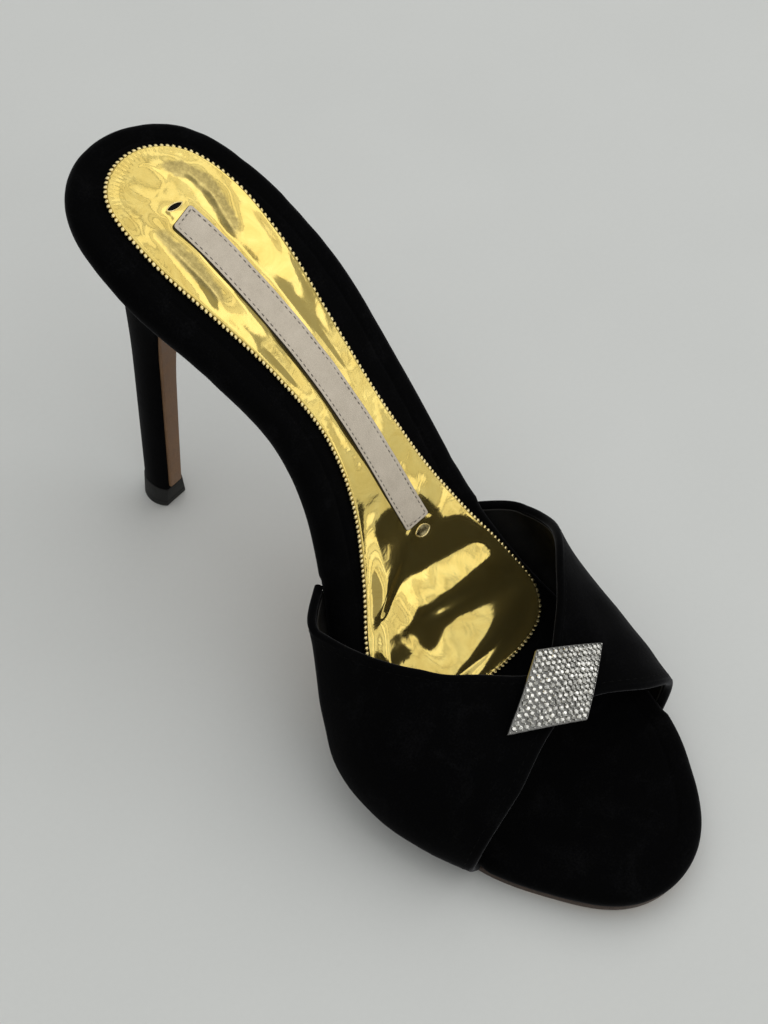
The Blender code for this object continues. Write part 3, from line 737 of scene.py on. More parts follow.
def sockHeight(flat):
    # how the padded leather rises and dips over its flat shape
    away, round_ = nearest(sockSheet, flat)
    along, across = flat[:, 0], flat[:, 1]
    height = sock["crown"] * smoothStep(0, sock["crownWidth"], away)
    for seed, length, size in sock["warps"]:
        height += size * waves(seed, length, 30)(flat) * smoothStep(0.4, 3.0, away)
    pucker = np.cos(2 * math.pi * round_ / sock["puckerPitch"]) * np.exp(-away / 1.1)
    height += sock["puckerDepth"] * pucker
    # folds across the ball of the foot, tapering toward the outer side
    calm = smoothStep(0.5, 5.0, away)
    start, stop, depth = sock["hollow"]
    height -= depth * smoothStep(start, stop, along - 0.2 * across) * smoothStep(-11, -3, across) * calm
    for start, startLean, stop, stopLean, slopes, far, longer in sock["folds"]:
        begin = start + startLean * across
        reach = np.maximum(stop + stopLean * across - begin, 0.4)
        slope = np.interp(across, (-12, 0, 14), slopes)
        down = far + longer * smoothStep(-2, -12, across)
        ridge = np.zeros(len(flat))
        for shift in (-1.2, -0.6, 0.0, 0.6, 1.2):
            climb = np.clip((along + shift - begin) / reach, 0, 1)
            past = smoothStep(0, down, along + shift - begin - reach)
            ridge += climb * (1 - past) / 5
        height += slope * reach * ridge * calm * smoothStep(180, 166, along)
    for first, second, width, depth in sock["hollows"]:
        first, second = np.array(first), np.array(second)
        run = second - first
        part = np.clip((flat[:, :2] - first) @ run / (run @ run), 0, 1)[:, None]
        off = np.linalg.norm(flat[:, :2] - first - part * run, axis=1)
        height -= depth * np.exp(-(off / width) ** 2) * smoothStep(0.2, 1.6, away)
    # soft dips beside the label
    off, wide, deep = sock["beside"]
    beside = np.abs(across - labelMiddle(along))
    ends = smoothStep(20, 34, along) * smoothStep(98, 70, along)
    height -= deep * np.exp(-((beside - off) / wide) ** 2) * ends * smoothStep(0.5, 3.5, away)
    height -= sock["labelDip"] * smoothStep(-1.6, 0.4, insideLabel(flat))
    place, aside, long, wide, deep = sock["ghost"]
    corner = (np.abs((along - place) / long) ** 4 + np.abs((across - aside) / wide) ** 4) ** 0.25
    height += deep * smoothStep(1.10, 0.90, corner)
    for slit in slits.values():
        height -= 0.25 * np.exp(-(slitReach(flat, slit) / 1.3) ** 2)
    return height


def makeSock():
    top, radius = sock["top"], sock["edgeRadius"]
    turn = quarterTurn * np.arange(5) / 4
    profile = np.stack((radius * (1 - np.sin(turn)), top - radius * (1 - np.cos(turn))), 1)
    profile = np.vstack((profile, [(0.0, sock["bottom"])]))
    flat, faces = layeredSlab(sockSheet, profile, sock["steps"], sock["columns"], top=sockHeight)
    piece = makePiece("sock", onLast(flat), faces, goldLeather, "mirror_leather", ["sock"], 60)


makeSock()


def makeSockEdge():
    # the bound edge: little foil pillows side by side with dark gaps between them
    ring = insetRing(sockRing, sock["beadInset"])
    path = np.column_stack((ring, np.full(len(ring), sock["beadLift"])))
    places, _ = evenly(path, sock["puckerPitch"], closed=True)
    ahead = np.roll(places, -1, 0) - np.roll(places, 1, 0)
    along = unit(onLast(places + ahead * 0.1) - onLast(places - ahead * 0.1))
    aside = unit(np.cross(along, unit(lastFrame(places[:, 0])[2])))
    dice = np.random.default_rng(15)
    sizes = [sock[key] / 2 * dice.uniform(0.92, 1.06, (len(places), 1))
             for key in ("beadLength", "beadWidth", "beadHeight")]
    lean = unit(along + aside * sock["beadLean"])
    axes = np.stack((lean * sizes[0], aside * sizes[1], np.cross(aside, along) * sizes[2]), 1)
    grains, faces = unitGrain(8, 14)
    grains = np.sign(grains) * np.abs(grains) ** sock["beadSquareness"]
    beads = scatter((grains, faces), onLast(places), axes)
    makePiece("sockBeading", *beads, goldEdge, "mirror_leather", sharp=80)


makeSockEdge()


def labelEdge(station, side):
    # a long strip with rounded corners, walked from the middle of one end to the middle of the other
    half, corner, length = label["width"] / 2, label["corner"], label["length"]
    straight, bend = half - corner, corner * quarterTurn
    marks = np.cumsum([0, straight, bend, length - 2 * corner, bend, straight])
    walk = np.asarray(station, float) * marks[-1]
    first = np.clip((walk - marks[1]) / bend, 0, 1) * quarterTurn
    second = np.clip((walk - marks[3]) / bend, 0, 1) * quarterTurn
    across = np.minimum(walk, straight) + corner * np.sin(first)
    across -= corner * (1 - np.cos(second)) + np.maximum(walk - marks[4], 0)
    along = corner * (1 - np.cos(first)) + np.clip(walk - marks[2], 0, length - 2 * corner)
    along += corner * np.sin(second)
    distance = label["start"] * last["length"] + along
    return np.stack((distance, labelMiddle(distance) + side * across), -1)


def makeLabel():
    ring = ringAround(labelEdge, label["steps"])
    top, inset = label["top"], label["stitchInset"]
    groove = [(inset + inward, top - depth) for inward, depth in label["groove"]]
    profile = np.vstack((groove, roundedProfile(top, top - label["bottom"], label["edgeRadius"], 3)))
    flat, faces = layeredSlab(ring, profile, label["steps"], label["columns"])
    flat[:, 2] += label["unevenness"] * waves(21, 12.0, 20)(flat)
    where = np.zeros(len(faces), int)   # the cut edge below the top's rounding is darker: partly the edge's own dark colour, partly painted shade of the gap where the label meets the gold
    where[len(ring) * (len(groove) + 1):len(ring) * (len(profile) - 1)] = 1
    finishes = [patchLeather, patchEdgeAndShade]
    makePiece("labelPatch", onLast(flat), faces, finishes, "patch_leather", ["label_patch"], 50, where)
    path = insetRing(ring, inset)
    path = np.column_stack((path, np.full(len(path), top - 0.02)))
    places, along = evenly(path, label["stitchPitch"], closed=True)
    forward = unit(onLast(places + along * 0.2) - onLast(places - along * 0.2))
    up = lastFrame(places[:, 0])[2]
    stitches = laidGrains(unitGrain(5, 8), onLast(places), forward, up, label["stitch"])
    makePiece("labelStitching", *stitches, greyThread, "patch_leather", sharp=80)


makeLabel()


def makeSlit(name, slit, core):
    # a short cut in the sock with raised lips round a small floor
    along, across, half, width, turn = slit
    cosine, sine = math.cos(math.radians(turn)), math.sin(math.radians(turn))
    sides = 48
    round_ = 2 * math.pi * np.arange(sides) / sides

    def outline(size):
        run = half * size * np.cos(round_)
        aside = width * size * np.sin(round_) * (0.55 + 0.45 * np.abs(np.sin(round_)))
        return np.stack((along + run * cosine - aside * sine, across + run * sine + aside * cosine), 1)

    rim = outline(1.0)
    height = sock["top"] + sockHeight(rim)
    lips = cordAlong(onLast(np.column_stack((rim, height))), lastFrame(rim[:, 0])[2], 0.17, closed=True)
    makePiece(name + "Lips", *lips, goldEdge, "mirror_leather", sharp=80)
    # rings of the floor: size, height over the sock
    rings = [onLast(np.column_stack((outline(size), height + lift))) for size, lift in
             ((0.98, -0.4), (0.98, 0.05), (0.6, 0.03), (0.2, 0.02))]
    faces = bandFaces(len(rings), sides)
    faces += [tuple(range(sides - 1, -1, -1)), tuple(range(3 * sides, 4 * sides))]
    makePiece(name + "Floor", np.vstack(rings), faces, core, "mirror_leather", sharp=80)


# the heel slit's floor is near black: painted shade inside the cut
makeSlit("slitHeel", slits["slitHeel"], slitShade)
makeSlit("slitToe", slits["slitToe"], goldEdge)


def vampOuter(around, share):
    # outer face: around runs 0 to 1 from the inner foot over the crest to the outer foot
    around, share = np.broadcast_arrays(np.asarray(around, float), np.asarray(share, float))
    distance = share * last["length"]
    inner = around < 0.5
    side = np.where(inner, -1.0, 1.0)
    values = smoothRows(vamp["sections"], (share - vamp["first"]) / (vamp["last"] - vamp["first"]))
    half = np.where(inner, footbedHalf(distance, -1), footbedHalf(distance, 1))
    bulge = np.where(inner, values[..., 1], values[..., 2])
    crest = side * values[..., 3]
    fromCrest = np.abs(2 * around - 1)
    climb = np.clip((1 - fromCrest) / (1 - vamp["archShare"]), 0, 1)
    angle = quarterTurn * np.clip(fromCrest / vamp["archShare"], 0, 1)
    isWall = fromCrest > vamp["archShare"]
    low = vamp["low"]
    wall = half + bulge * np.sin(quarterTurn * climb)
    across = np.where(isWall, wall, crest + (half + bulge - crest) * np.sin(angle))
    height = np.where(isWall, -last["thickness"] + (last["thickness"] + low) * climb,
                      low + (values[..., 0] - low) * np.cos(angle))
    return onLast(np.stack((distance, side * across, height), -1))


def vampNormal(around, share):
    reach = 0.003
    wide = vampOuter(np.minimum(around + reach, 1), share) - vampOuter(np.maximum(around - reach, 0), share)
    long = vampOuter(around, share + reach) - vampOuter(around, share - reach)
    return unit(np.cross(long, wide))


def vampAt(around, share, depth):
    return vampOuter(around, share) - vampNormal(around, share) * np.asarray(depth)[..., None]


vampRows = np.linspace(0, 1, vamp["rows"] + 1)
vampFront, vampBack = smoothRows(vamp["edges"], vampRows).T
rimRadius = vamp["wall"] / 2


def vampRim(edge, sign):
    # the folded edge, a half round from the outer face to the inner one
    around = vampRows
    normal = vampNormal(around, edge)
    run = np.gradient(vampOuter(around, edge), axis=0)
    outward = unit(np.cross(run, normal))
    ahead = vampOuter(around, edge + 0.003) - vampOuter(around, edge - 0.003)
    outward *= np.sign((outward * ahead).sum(1) * sign)[:, None]
    centre = vampOuter(around, edge) - normal * rimRadius
    turns = math.pi * np.arange(1, vamp["rimTurns"]) / vamp["rimTurns"]
    return [centre + rimRadius * (normal * math.cos(turn) + outward * math.sin(turn)) for turn in turns]


def makeVamp():
    inset = rimRadius / last["length"]
    front, back = vampFront - inset, vampBack + inset
    columns = vamp["columns"]
    part = np.linspace(0, 1, columns + 1)
    shares = back[:, None] + (front - back)[:, None] * part
    around = np.repeat(vampRows[:, None], columns + 1, 1)
    outer = vampAt(around, shares, np.zeros_like(shares))
    ripple = waves(31, 14.0, 24)(outer.reshape(-1, 3)).reshape(shares.shape) * vamp["ripple"]
    calm = smoothStep(0, 0.15, part) * smoothStep(0, 0.15, 1 - part)
    outer += vampNormal(around, shares) * (ripple * calm - vamp["sink"])[..., None]
    toEdge = np.minimum(shares - back[:, None], front[:, None] - shares) * last["length"]
    depth = np.where(toEdge < vamp["turnIn"], vamp["wall"], vamp["wall"] - vamp["liningRoom"])
    inner = vampAt(around, shares, depth)
    loops = [outer[:, k] for k in range(columns + 1)]
    loops += vampRim(front, 1)
    loops += [inner[:, k] for k in range(columns, -1, -1)]
    loops += vampRim(back, -1)[::-1]
    grid = np.stack(loops, 1)
    rows, ring = grid.shape[:2]
    faces = bandFaces(rows, ring)
    rim = vamp["rimTurns"] - 1
    far = 2 * columns + 1 + rim     # the inner face's number for the outer face's first column
    for base in (0, (rows - 1) * ring):
        faces += [(base + k, base + k + 1, base + far - k - 1, base + far - k) for k in range(columns)]
        faces.append(tuple(base + k for k in range(columns, columns + rim + 2)))
        faces.append(tuple(base + k % ring for k in range(far, ring + 1)))
    where = np.zeros(len(faces), int)
    body = np.arange((rows - 1) * ring) % ring
    where[:len(body)] = (body >= columns).astype(int)
    finishes = [blackVelvet, rimVelvet]
    makePiece("vampVelvet", grid.reshape(-1, 3), faces, finishes, "velvet", ["vamp"], 60, where)


makeVamp()


def makeLining():
    inset = (rimRadius + vamp["turnIn"] - 0.3) / last["length"]
    columns = vamp["liningColumns"]
    front, back = vampFront - inset, vampBack + inset
    part = np.linspace(0, 1, columns + 1)
    shares = back[:, None] + (front - back)[:, None] * part
    around = np.repeat(vampRows[:, None], columns + 1, 1)
    wave = waves(41, 11.0, 20)(vampOuter(around, shares).reshape(-1, 3)).reshape(shares.shape) * 0.06
    upper = vampAt(around, shares, np.full_like(shares, vamp["wall"] - 0.7))
    lower = vampAt(around, shares, vamp["wall"] + 0.16 + wave)
    grid = np.concatenate((upper, lower[:, ::-1]), 1)
    rows, ring = grid.shape[:2]
    faces = bandFaces(rows, ring)
    for base in (0, (rows - 1) * ring):
        faces += [(base + k, base + k + 1, base + ring - 2 - k, base + ring - 1 - k) for k in range(columns)]
    makePiece("vampLining", grid.reshape(-1, 3), faces, liningLeather, "lining_leather", sharp=50)
    cords = []
    for edge in (front, back):
        keep = slice(4, -4)
        path = vampAt(vampRows[keep], edge[keep], np.full(len(edge[keep]), vamp["wall"] + 0.12))
        cords.append(cordAlong(path, -vampNormal(vampRows[keep], edge[keep]), vamp["pipingRadius"]))
    makePiece("liningPiping", *joined(cords), pipingLeather, "lining_leather", sharp=80)


makeLining()


def makeTopStitching():
    parts = []
    for edge, sign in ((vampBack, 1), (vampFront, -1)):
        share = edge + sign * vamp["stitchInset"] / last["length"]
        path = vampAt(vampRows, share, np.full(len(share), 0.10))
        ups = vampNormal(vampRows, share)
        places, along = evenly(path, vamp["stitchPitch"])
        marks = np.linspace(0, 1, len(places))
        up = np.stack([np.interp(marks, vampRows, ups[:, k]) for k in range(3)], 1)
        parts.append(laidGrains(unitGrain(5, 8), places, along, up, vamp["stitch"]))
    makePiece("topStitching", *joined(parts), blackThread, "velvet", sharp=80)


makeTopStitching()


heel = {
    "seatLength": 50.0, "seatInset": 2.2, "liftHeight": 7.5, "gap": 0.3,
    # share of the way down, flare left, greatest half width, depth behind the breast, breast behind the tip
    "sections": [
        (0.0, 1.0, 8.0, 20.0, 0.0), (0.05, 0.50, 7.0, 15.0, 1.5), (0.11, 0.26, 6.1, 13.4, 3.4),
        (0.18, 0.13, 5.8, 12.9, 3.3), (0.27, 0.04, 5.4, 12.3, 3.2), (0.38, 0.01, 5.0, 11.5, 3.0),
        (0.52, 0.0, 4.6, 10.7, 2.4), (0.75, 0.0, 4.3, 10.0, 1.3), (1.0, 0.0, 4.0, 9.4, 0.0),
    ],
    "sweep": 138.0,         # degrees from the back of the heel round to each edge of its breast
    "tipAcross": 5.3, "tipAhead": 25.4, "turn": 0.0,
    "levels": 110, "crowding": 1.25,        # levels stand closer together toward the seat
    "roundColumns": 64, "breastColumns": 18,
    "cornerSoftening": 5, "cornerReach": 7, # rounds of softening, and points softened beside each corner
    "stripTop": 0.05, "stripFoot": 0.985, "stripBorder": 0.65, "stripThickness": 0.75, "stripLevels": 90,
    "liftMargin": 0.2, "liftBevel": 0.35,
    "liftJoint": (2.25, 0.12),              # height and depth of the joint line round the lift
    "liftFoot": (5.1, 9.6), "liftLean": 0.8,
}
heelTip = np.array((heel["tipAcross"], -heel["tipAhead"], ground + heel["liftHeight"]))
heelAcross = np.array((math.cos(math.radians(heel["turn"])), math.sin(math.radians(heel["turn"])), 0.0))
heelBack = np.array((-heelAcross[1], heelAcross[0], 0.0))


def stemPlaces(middle, half, reach, columns):
    # a horseshoe round the back of the heel's stem, from one edge of its flat front to the other
    sweep = math.radians(heel["sweep"])
    angles = sweep * np.linspace(-1, 1, 2 * columns + 1)
    depth = (np.cos(angles) - math.cos(sweep)) / (1 - math.cos(sweep))
    return middle + heelAcross * (half * np.sin(angles))[:, None] + heelBack * (reach * depth)[:, None]


def heelLevel(row, columns):
    # one level of the heel: the seat's outline drawn in toward a slim stem with a flat front
    down, flare, half, reach, back = row
    angles = quarterTurn * np.linspace(-1, 1, 2 * columns + 1)
    seatStation = stationAt(heel["seatLength"])
    stations = seatStation * np.abs(angles) / quarterTurn
    places = []
    for station, angle in zip(stations, angles):
        side = -1 if angle < 0 else 1
        if station <= 0:
            places.append((heel["seatInset"], 0.0))
            continue
        before, here, after = footbedEdge(np.array([station - 0.004, station, station + 0.004]), side)
        along, aside = after - before
        length = math.hypot(along, aside)
        places.append((min(here[0] + side * aside / length * heel["seatInset"], heel["seatLength"]),
                       here[1] - side * along / length * heel["seatInset"]))
    seat = onLast(np.column_stack((places, np.full(len(places), -last["thickness"] - heel["gap"]))))
    stem = stemPlaces(heelTip + heelBack * back, half, reach, columns)
    level = stem + (seat - stem) * flare
    level[:, 2] = seat[:, 2] + (heelTip[2] - seat[:, 2]) * down
    return level


def heelRow(down):
    rows = np.array(heel["sections"])
    fine = smoothRows(rows, np.linspace(0, 1, 400))
    fine[:, 0] = np.maximum.accumulate(fine[:, 0])
    row = np.array([np.interp(down, fine[:, 0], fine[:, k]) for k in range(5)])
    row[1] = max(row[1], 0.0)
    return row


def withFront(level, columns):
    # close a horseshoe with a straight front
    return np.vstack((level, placesBetween(level[-1], level[0], columns)))


def makeHeel():
    columns, breast = heel["roundColumns"], heel["breastColumns"]
    loops = []
    for down in np.linspace(0, 1, heel["levels"] + 1) ** heel["crowding"]:
        soft = withFront(heelLevel(heelRow(down), columns), breast)
        index = np.arange(len(soft))
        near = np.minimum(np.abs(index - 2 * columns), np.minimum(index, len(soft) - index))
        weight = np.clip(1 - near / heel["cornerReach"], 0, 1)[:, None]
        for _ in range(heel["cornerSoftening"]):
            middle = (np.roll(soft, 1, 0) + np.roll(soft, -1, 0)) / 2
            soft += (middle - soft) * 0.5 * weight
        loops.append(soft)
    count = len(loops[0])
    points = np.vstack(loops)
    faces = bandFaces(len(loops), count) + [tuple(range(len(points) - count, len(points)))]
    # the seat is closed row by row from the breast to the back
    total, rows = len(points), [[0, *range(count - 1, 2 * columns - 1, -1)]]
    extra = []
    for index in range(1, columns):
        extra.append(placesBetween(points[index], points[2 * columns - index], breast))
        rows.append([index, *range(total, total + breast - 1), 2 * columns - index])
        total += breast - 1
    faces += sheetFaces(rows, columns)
    makePiece("heelCover", np.vstack([points] + extra), faces, blackVelvet, "velvet", ["heel"], 60)


makeHeel()


def makeBreastStrip():
    # the leather strip down the heel's flat front, with rounded edges
    thick = heel["stripThickness"]
    profile = [(0.0, 0.15), (0.0, -thick + 0.25), (0.12, -thick + 0.08), (0.3, -thick), (0.55, -thick - 0.02)]
    loops = []
    for step in range(heel["stripLevels"] + 1):
        down = heel["stripTop"] + (heel["stripFoot"] - heel["stripTop"]) * step / heel["stripLevels"]
        level = heelLevel(heelRow(down), 2)
        run = unit(level[-1] - level[0])
        start, stop = level[0] + run * heel["stripBorder"], level[-1] - run * heel["stripBorder"]
        ring = [start + run * aside + heelBack * back for aside, back in profile]
        ring += [stop - run * aside + heelBack * back for aside, back in profile[::-1]]
        loops.append(np.array(ring))
    makePiece("breastStrip", *stackedLoops(loops), breastLeather, "breast_leather", ["heel_breast"], 35)


makeBreastStrip()


def makeLift():
    # the rubber tip, spreading toward the ground, with a fine joint line round it
    half, reach = (heel["sections"][-1][place] for place in (2, 3))
    margin, bevel, tall = heel["liftMargin"], heel["liftBevel"], heel["liftHeight"] - 0.05
    joint, notch = heel["liftJoint"]
    loops = []
    for inset, height in ((bevel, tall), (0.08, tall - 0.08), (0.0, tall - 0.3), (0.0, joint + 0.15),
                          (notch, joint), (0.0, joint - 0.15), (0.0, bevel), (0.1, 0.1), (bevel, 0.0)):
        spread = 1 - height / tall
        wide = half + margin + (heel["liftFoot"][0] - half - margin) * spread - inset
        deep = reach + 2 * margin + (heel["liftFoot"][1] - reach - 2 * margin) * spread - 2 * inset
        middle = heelTip + heelAcross * heel["liftLean"] * spread - heelBack * (margin * (1 - spread) - inset)
        loop = withFront(stemPlaces(middle, wide, deep, 28), 12)
        loop[:, 2] = ground + height
        loops.append(loop)
    makePiece("topLift", *stackedLoops(loops), liftRubber, "lift_rubber", ["top_lift"], 30)


makeLift()


sole = {
    "top": -7.25, "thickness": 2.05, "inset": 1.4, "edgeRadius": 0.5,
    "waistInset": 3.0, "waistStart": 0.15, "waistEnd": 0.72, "breastClearance": 2.6,
    "heelInset": 2.6, "heelInsetFrom": 90.0, "heelInsetTo": 150.0,
    "channelInset": 4.2, "channelDepth": 0.30, "steps": 220, "columns": 26,
    # the stitch channel's section: how far outward of its middle, and share of its depth
    "channel": [(0.6, 0.0), (0.2, 0.7), (0.0, 1.0), (-0.2, 0.7), (-0.6, 0.0)],
    "paintedFrom": 0.35,    # the edge is painted from this far above the tread
}


def soleEdge(station, side):
    # the footbed's outline, drawn in along the waist and hidden under it toward the heel
    distance = shareAt(station) * last["length"]
    share = distance / last["length"]
    along = np.clip((share - sole["waistStart"]) / (sole["waistEnd"] - sole["waistStart"]), 0, 1)
    half = footbedHalf(distance, side) - sole["waistInset"] * np.sin(math.pi * along) ** 2
    half -= sole["heelInset"] * smoothStep(sole["heelInsetTo"], sole["heelInsetFrom"], distance)
    return np.stack((distance, side * np.maximum(half, 0)), -1)


def makeSole():
    start = float(stationAt(heel["seatLength"] + sole["breastClearance"]))
    ring = ringAround(soleEdge, sole["steps"], start, sole["columns"])
    low = sole["top"] - sole["thickness"]
    edge = roundedProfile(sole["top"], sole["thickness"], sole["edgeRadius"], 4) + (sole["inset"], 0)
    channel = [(sole["channelInset"] - outward, low + share * sole["channelDepth"])
               for outward, share in sole["channel"]]
    profile = np.vstack((edge, channel))
    flat, faces = layeredSlab(ring, profile, sole["steps"], sole["columns"], start)
    heights = np.array([flat[list(face), 2].mean() for face in faces])
    where = (heights > low + sole["paintedFrom"]).astype(int)
    finishes = [soleLeather, soleEdgePaint]
    makePiece("outsoleLeather", onTread(flat), faces, finishes, "outsole_leather", ["outsole"], 40, where)


makeSole()


ornament = {
    "share": 0.795, "around": 0.498, "length": 34.3, "width": 19.9, "skew": 1.9,
    "drop": 3.8,            # how far its long ends bend down over the vamp
    "gap": 0.3, "rim": 1.0, "height": 1.7, "floorSunk": 0.30,
    "seats": 40, "seatSpread": 0.25, "seatReach": 1.05,
    # stones: rows each way, share of each side that they leave free at an end, size as a share of
    # their pitch, how unevenly they tilt and stray, and the size of the grains between them
    "rows": 13, "margin": 0.022, "stoneShare": 0.485, "tilt": 0.20, "stray": 0.05, "grain": 0.21,
}


def ornamentFrame():
    share, around, reach = ornament["share"], ornament["around"], 0.004
    middle = vampOuter(around, share)
    across = unit(vampOuter(around + reach, share) - vampOuter(around - reach, share))
    ahead = vampOuter(around, share + reach) - vampOuter(around, share - reach)
    out = unit(np.cross(ahead, across))
    out = -out if out[2] < 0 else out
    toe = unit(np.cross(across, out))
    steps = np.linspace(-1, 1, 2 * ornament["seats"] + 1)
    shares, rounds = np.meshgrid(share + ornament["width"] / last["length"] * steps,
                                 around + ornament["seatSpread"] * steps, indexing="ij")
    places = vampOuter(rounds, shares) - middle
    along = places @ across / (ornament["length"] / 2)
    aside = (places @ toe + along * ornament["skew"]) / (ornament["width"] / 2)
    under = np.abs(along) + np.abs(aside) < ornament["seatReach"]
    lift = float(((places @ out + ornament["drop"] * along ** 2) * under).max())
    return middle + out * lift, across, toe, out


def stoneShape():
    # a round cut stone: girdle, crown and table, with a short pavilion below
    sides, points = 8, []
    for radius, height, shift in ((0.55, -0.5, 0.0), (1.0, 0.0, 0.0), (0.98, 0.12, 0.0), (0.58, 0.62, 0.5)):
        for k in range(sides):
            turn = 2 * math.pi * (k + shift) / sides
            points.append((radius * math.cos(turn), radius * math.sin(turn), height))
    faces = bandFaces(3, sides)
    for k in range(sides):
        faces.append((2 * sides + k, 2 * sides + (k + 1) % sides, 3 * sides + k))
        faces.append((2 * sides + (k + 1) % sides, 3 * sides + (k + 1) % sides, 3 * sides + k))
    faces += [tuple(range(sides - 1, -1, -1)), tuple(range(3 * sides, 4 * sides))]
    return np.array(points), faces


def makeOrnament():
    middle, across, toe, out = ornamentFrame()
    half, wide, skew = ornament["length"] / 2, ornament["width"] / 2, ornament["skew"]
    corners = np.array([(half, -skew), (0.0, wide), (-half, skew), (0.0, -wide)])
    base, rim, peak, sunk = (ornament[key] for key in ("gap", "rim", "height", "floorSunk"))

    def lay(along, aside, height):
        # bent down toward both long ends
        height = np.asarray(height) - ornament["drop"] * (along / half) ** 2
        return middle + across * along[..., None] + toe * aside[..., None] + out * height[..., None]

    first, second = corners[1] - corners[0], corners[3] - corners[0]

    def facet(p, q, drop=0.0):
        flat = corners[0] + p[..., None] * first + q[..., None] * second
        slope = 1 - np.abs(p - q) - np.abs(p + q - 1)
        return lay(flat[..., 0], flat[..., 1], base + rim + peak * slope - drop)

    # the setting: a shallow metal tray with a raised rim round the stones; its dark metal is painted shade
    # for the gaps between them
    rings = []
    for size, height in ((0.93, base), (0.985, base + 0.1), (1.0, base + 0.3), (1.0, base + rim - 0.05),
                         (0.993, base + rim + 0.05), (0.982, base + rim + 0.05), (0.974, base + rim - 0.15)):
        loop = []
        for index in range(4):
            here, after = corners[index] * size, corners[(index + 1) % 4] * size
            part = (0.012 + 0.976 * np.arange(16) / 15)[:, None]
            loop.append(here + (after - here) * part)
        loop = np.vstack(loop)
        rings.append(lay(loop[:, 0], loop[:, 1], np.full(len(loop), height)))
    for size in (0.75, 0.5, 0.25):
        loop = np.vstack(loop) / 0.974 * size if size == 0.75 else loop * (size / (size + 0.25))
        slope = 1 - np.abs(loop[:, 0]) / half - np.abs(loop[:, 1] + loop[:, 0] * skew / half) / wide
        rings.append(lay(loop[:, 0], loop[:, 1], base + rim + peak * slope - sunk))
    count = len(rings[0])
    points = np.vstack(rings + [lay(np.zeros(1), np.zeros(1), np.array([base + rim + peak - sunk]))])
    faces = bandFaces(len(rings), count)
    faces.append(tuple(range(count - 1, -1, -1)))
    faces += [((len(rings) - 1) * count + k, (len(rings) - 1) * count + (k + 1) % count, len(points) - 1)
              for k in range(count)]
    makePiece("ornamentSetting", points, faces, settingMetal, "ornament_metal", ["ornament"], 30)

    rows, margin, stray = (ornament[key] for key in ("rows", "margin", "stray"))
    spread = 1 - 2 * margin
    dice = np.random.default_rng(77)
    steps = margin + spread * (np.arange(rows) + 0.5) / rows
    p, q = (grid.ravel() for grid in np.meshgrid(steps, steps, indexing="ij"))
    centres = facet(p, q, 0.10)
    reach = 0.01
    alongFirst = facet(p + reach, q) - facet(p - reach, q)
    alongSecond = facet(p, q + reach) - facet(p, q - reach)
    normal = unit(np.cross(alongFirst, alongSecond))
    normal *= np.sign(normal @ out)[:, None]
    normal = unit(normal + dice.normal(0, ornament["tilt"], normal.shape))
    spin = dice.uniform(0, 2 * math.pi, len(p))
    side = unit(np.cross(normal, np.tile(across, (len(p), 1))))
    other = np.cross(side, normal)
    pitch = np.linalg.norm(second) * spread / rows
    size = pitch * ornament["stoneShare"] * dice.uniform(0.90, 1.06, len(p))
    centres += side * dice.normal(0, stray, (len(p), 1)) + other * dice.normal(0, stray, (len(p), 1))
    turned = side * np.cos(spin)[:, None] + other * np.sin(spin)[:, None]
    axes = np.stack((turned, np.cross(normal, turned), normal), 1) * size[:, None, None]
    makePiece("ornamentStones", *scatter(stoneShape(), centres, axes), crystal, "crystal", sharp=5)
    marks = margin + spread * np.arange(rows + 1) / rows
    p, q = (grid.ravel() for grid in np.meshgrid(marks, marks, indexing="ij"))
    centres = facet(p, q, -0.10)
    axes = np.tile(np.eye(3) * ornament["grain"], (len(p), 1, 1))
    makePiece("ornamentBeads", *scatter(unitGrain(4, 6), centres, axes), silver, "ornament_metal", sharp=80)


makeOrnament()


stage = {
    "floorSize": 12.0,
    "floorColours": [(0.2, (0.705, 0.715, 0.695)), (0.8, (0.745, 0.755, 0.735))],
    # overhead strips side by side: how far to the outer side, width, radiance
    "overhead": (-1.00, 1.65, 5.0),     # their middle, height and length
    "strips": [
        (-1.00, 0.50, 0.78), (-0.52, 0.30, 0.54), (-0.14, 0.30, 0.88), (0.18, 0.22, 0.58), (0.46, 0.24, 0.76),
        (0.74, 0.24, 0.52), (0.98, 0.18, 0.62), (1.24, 0.24, 0.84), (1.52, 0.24, 0.60), (2.10, 0.86, 1.08),
    ],
    # upright panels in front of the toe: height, how tall, radiance
    "ahead": (0.90, -2.30, 3.6),        # their place and width
    "fronts": [(0.16, 0.20, 0.94), (0.40, 0.20, 0.66), (0.66, 0.22, 0.92), (0.94, 0.22, 0.74)],
    "world": (0.36, 0.365, 0.36), "worldStrength": 1.0,
}


def makeFloor():
    mesh = bpy.data.meshes.new("floor")
    half = stage["floorSize"] / 2
    corners = [(-half, -half, 0), (half, -half, 0), (half, half, 0), (-half, half, 0)]
    mesh.from_pydata(corners, [], [(0, 1, 2, 3)])
    finish = newFinish("paleFloor", {"Specular IOR Level": 0.25})
    tone = noiseOn(finish, 60.0, 2.0, 0.5)
    speck = noiseOn(finish, 1.5, 2.0, 0.5)
    plug(finish, {
        "Base Color": rampOn(finish, mixOn(finish, tone, speck, 0.3), stage["floorColours"]),
        "Roughness": spanOn(finish, speck, 0.45, 0.55)})
    mesh.materials.append(finish)
    floor = bpy.data.objects.new("floor", mesh)
    bpy.context.collection.objects.link(floor)


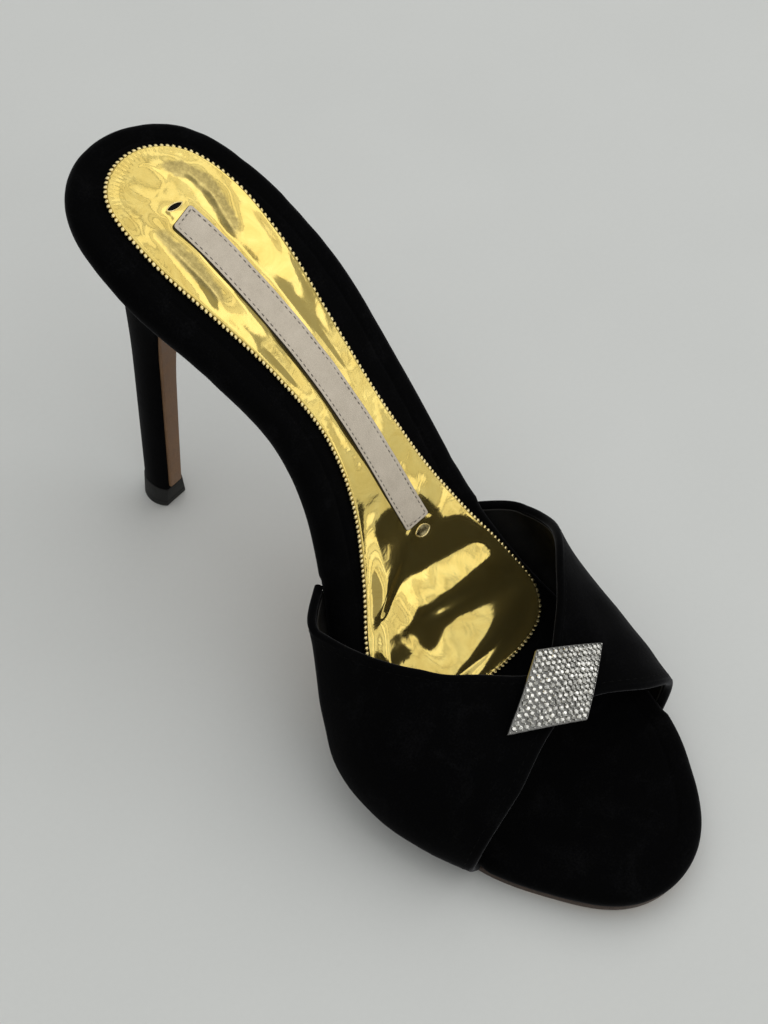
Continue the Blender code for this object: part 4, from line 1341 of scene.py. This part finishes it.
def addSoftBox(name, place, target, wide, long, glow):
    # glow is how bright the panel itself looks
    light = bpy.data.lights.new(name, "AREA")
    light.shape, light.size, light.size_y = "RECTANGLE", wide, long
    light.energy = glow * wide * long * math.pi
    holder = bpy.data.objects.new(name, light)
    bpy.context.collection.objects.link(holder)
    holder.location = place
    aim = Vector(target) - Vector(place)
    holder.rotation_euler = aim.to_track_quat("-Z", "Y").to_euler()


def lightScene():
    world = bpy.data.worlds.new("paleRoom")
    bpy.context.scene.world = world
    world.use_nodes = True
    world.node_tree.nodes["Background"].inputs["Color"].default_value = (*stage["world"], 1)
    world.node_tree.nodes["Background"].inputs["Strength"].default_value = stage["worldStrength"]
    middle, tall, long = stage["overhead"]
    for index, (aside, wide, glow) in enumerate(stage["strips"]):
        name = "overheadStrip%d" % (index + 1)
        addSoftBox(name, (aside, middle, tall), (aside, middle, 0), wide, long, glow)
    aside, away, wide = stage["ahead"]
    for index, (height, tall, glow) in enumerate(stage["fronts"]):
        name = "frontPanel%d" % (index + 1)
        addSoftBox(name, (aside, away, height), (aside, 0, height), wide, tall, glow)
    view = bpy.context.scene.view_settings
    view.view_transform = "Standard"
    view.look = "None"


camera = {
    # place from the heel end of the footbed, height from the ground, and the way it looks
    "place": (-236.81, -245.17, 464.49),
    "right": (0.663644, -0.747558, 0.027069),
    "down": (-0.637998, -0.584534, -0.501277),
    "forward": (0.390557, 0.315400, -0.864863),
    "aim": (0.0693, -0.0830),   # re-aimed at the middle of the shoe: right and down of forward
    "lens": 75.3,
}


def placeCamera():
    right, down, forward = (Vector(camera[key]) for key in ("right", "down", "forward"))
    aim = (forward + right * camera["aim"][0] + down * camera["aim"][1]).normalized()
    across = (right - aim * right.dot(aim)).normalized()
    below = aim.cross(across)
    aside, behind, height = camera["place"]
    place = Vector((aside + shoeOffset[0], behind + shoeOffset[1], height)) * mm
    data = bpy.data.cameras.new("camera")
    data.lens, data.clip_start = camera["lens"], 0.01
    holder = bpy.data.objects.new("camera", data)
    bpy.context.collection.objects.link(holder)
    holder.matrix_world = Matrix.Translation(place) @ Matrix((across, -below, -aim)).transposed().to_4x4()
    bpy.context.scene.camera = holder


makeFloor()
lightScene()
placeCamera()
print("stage set")
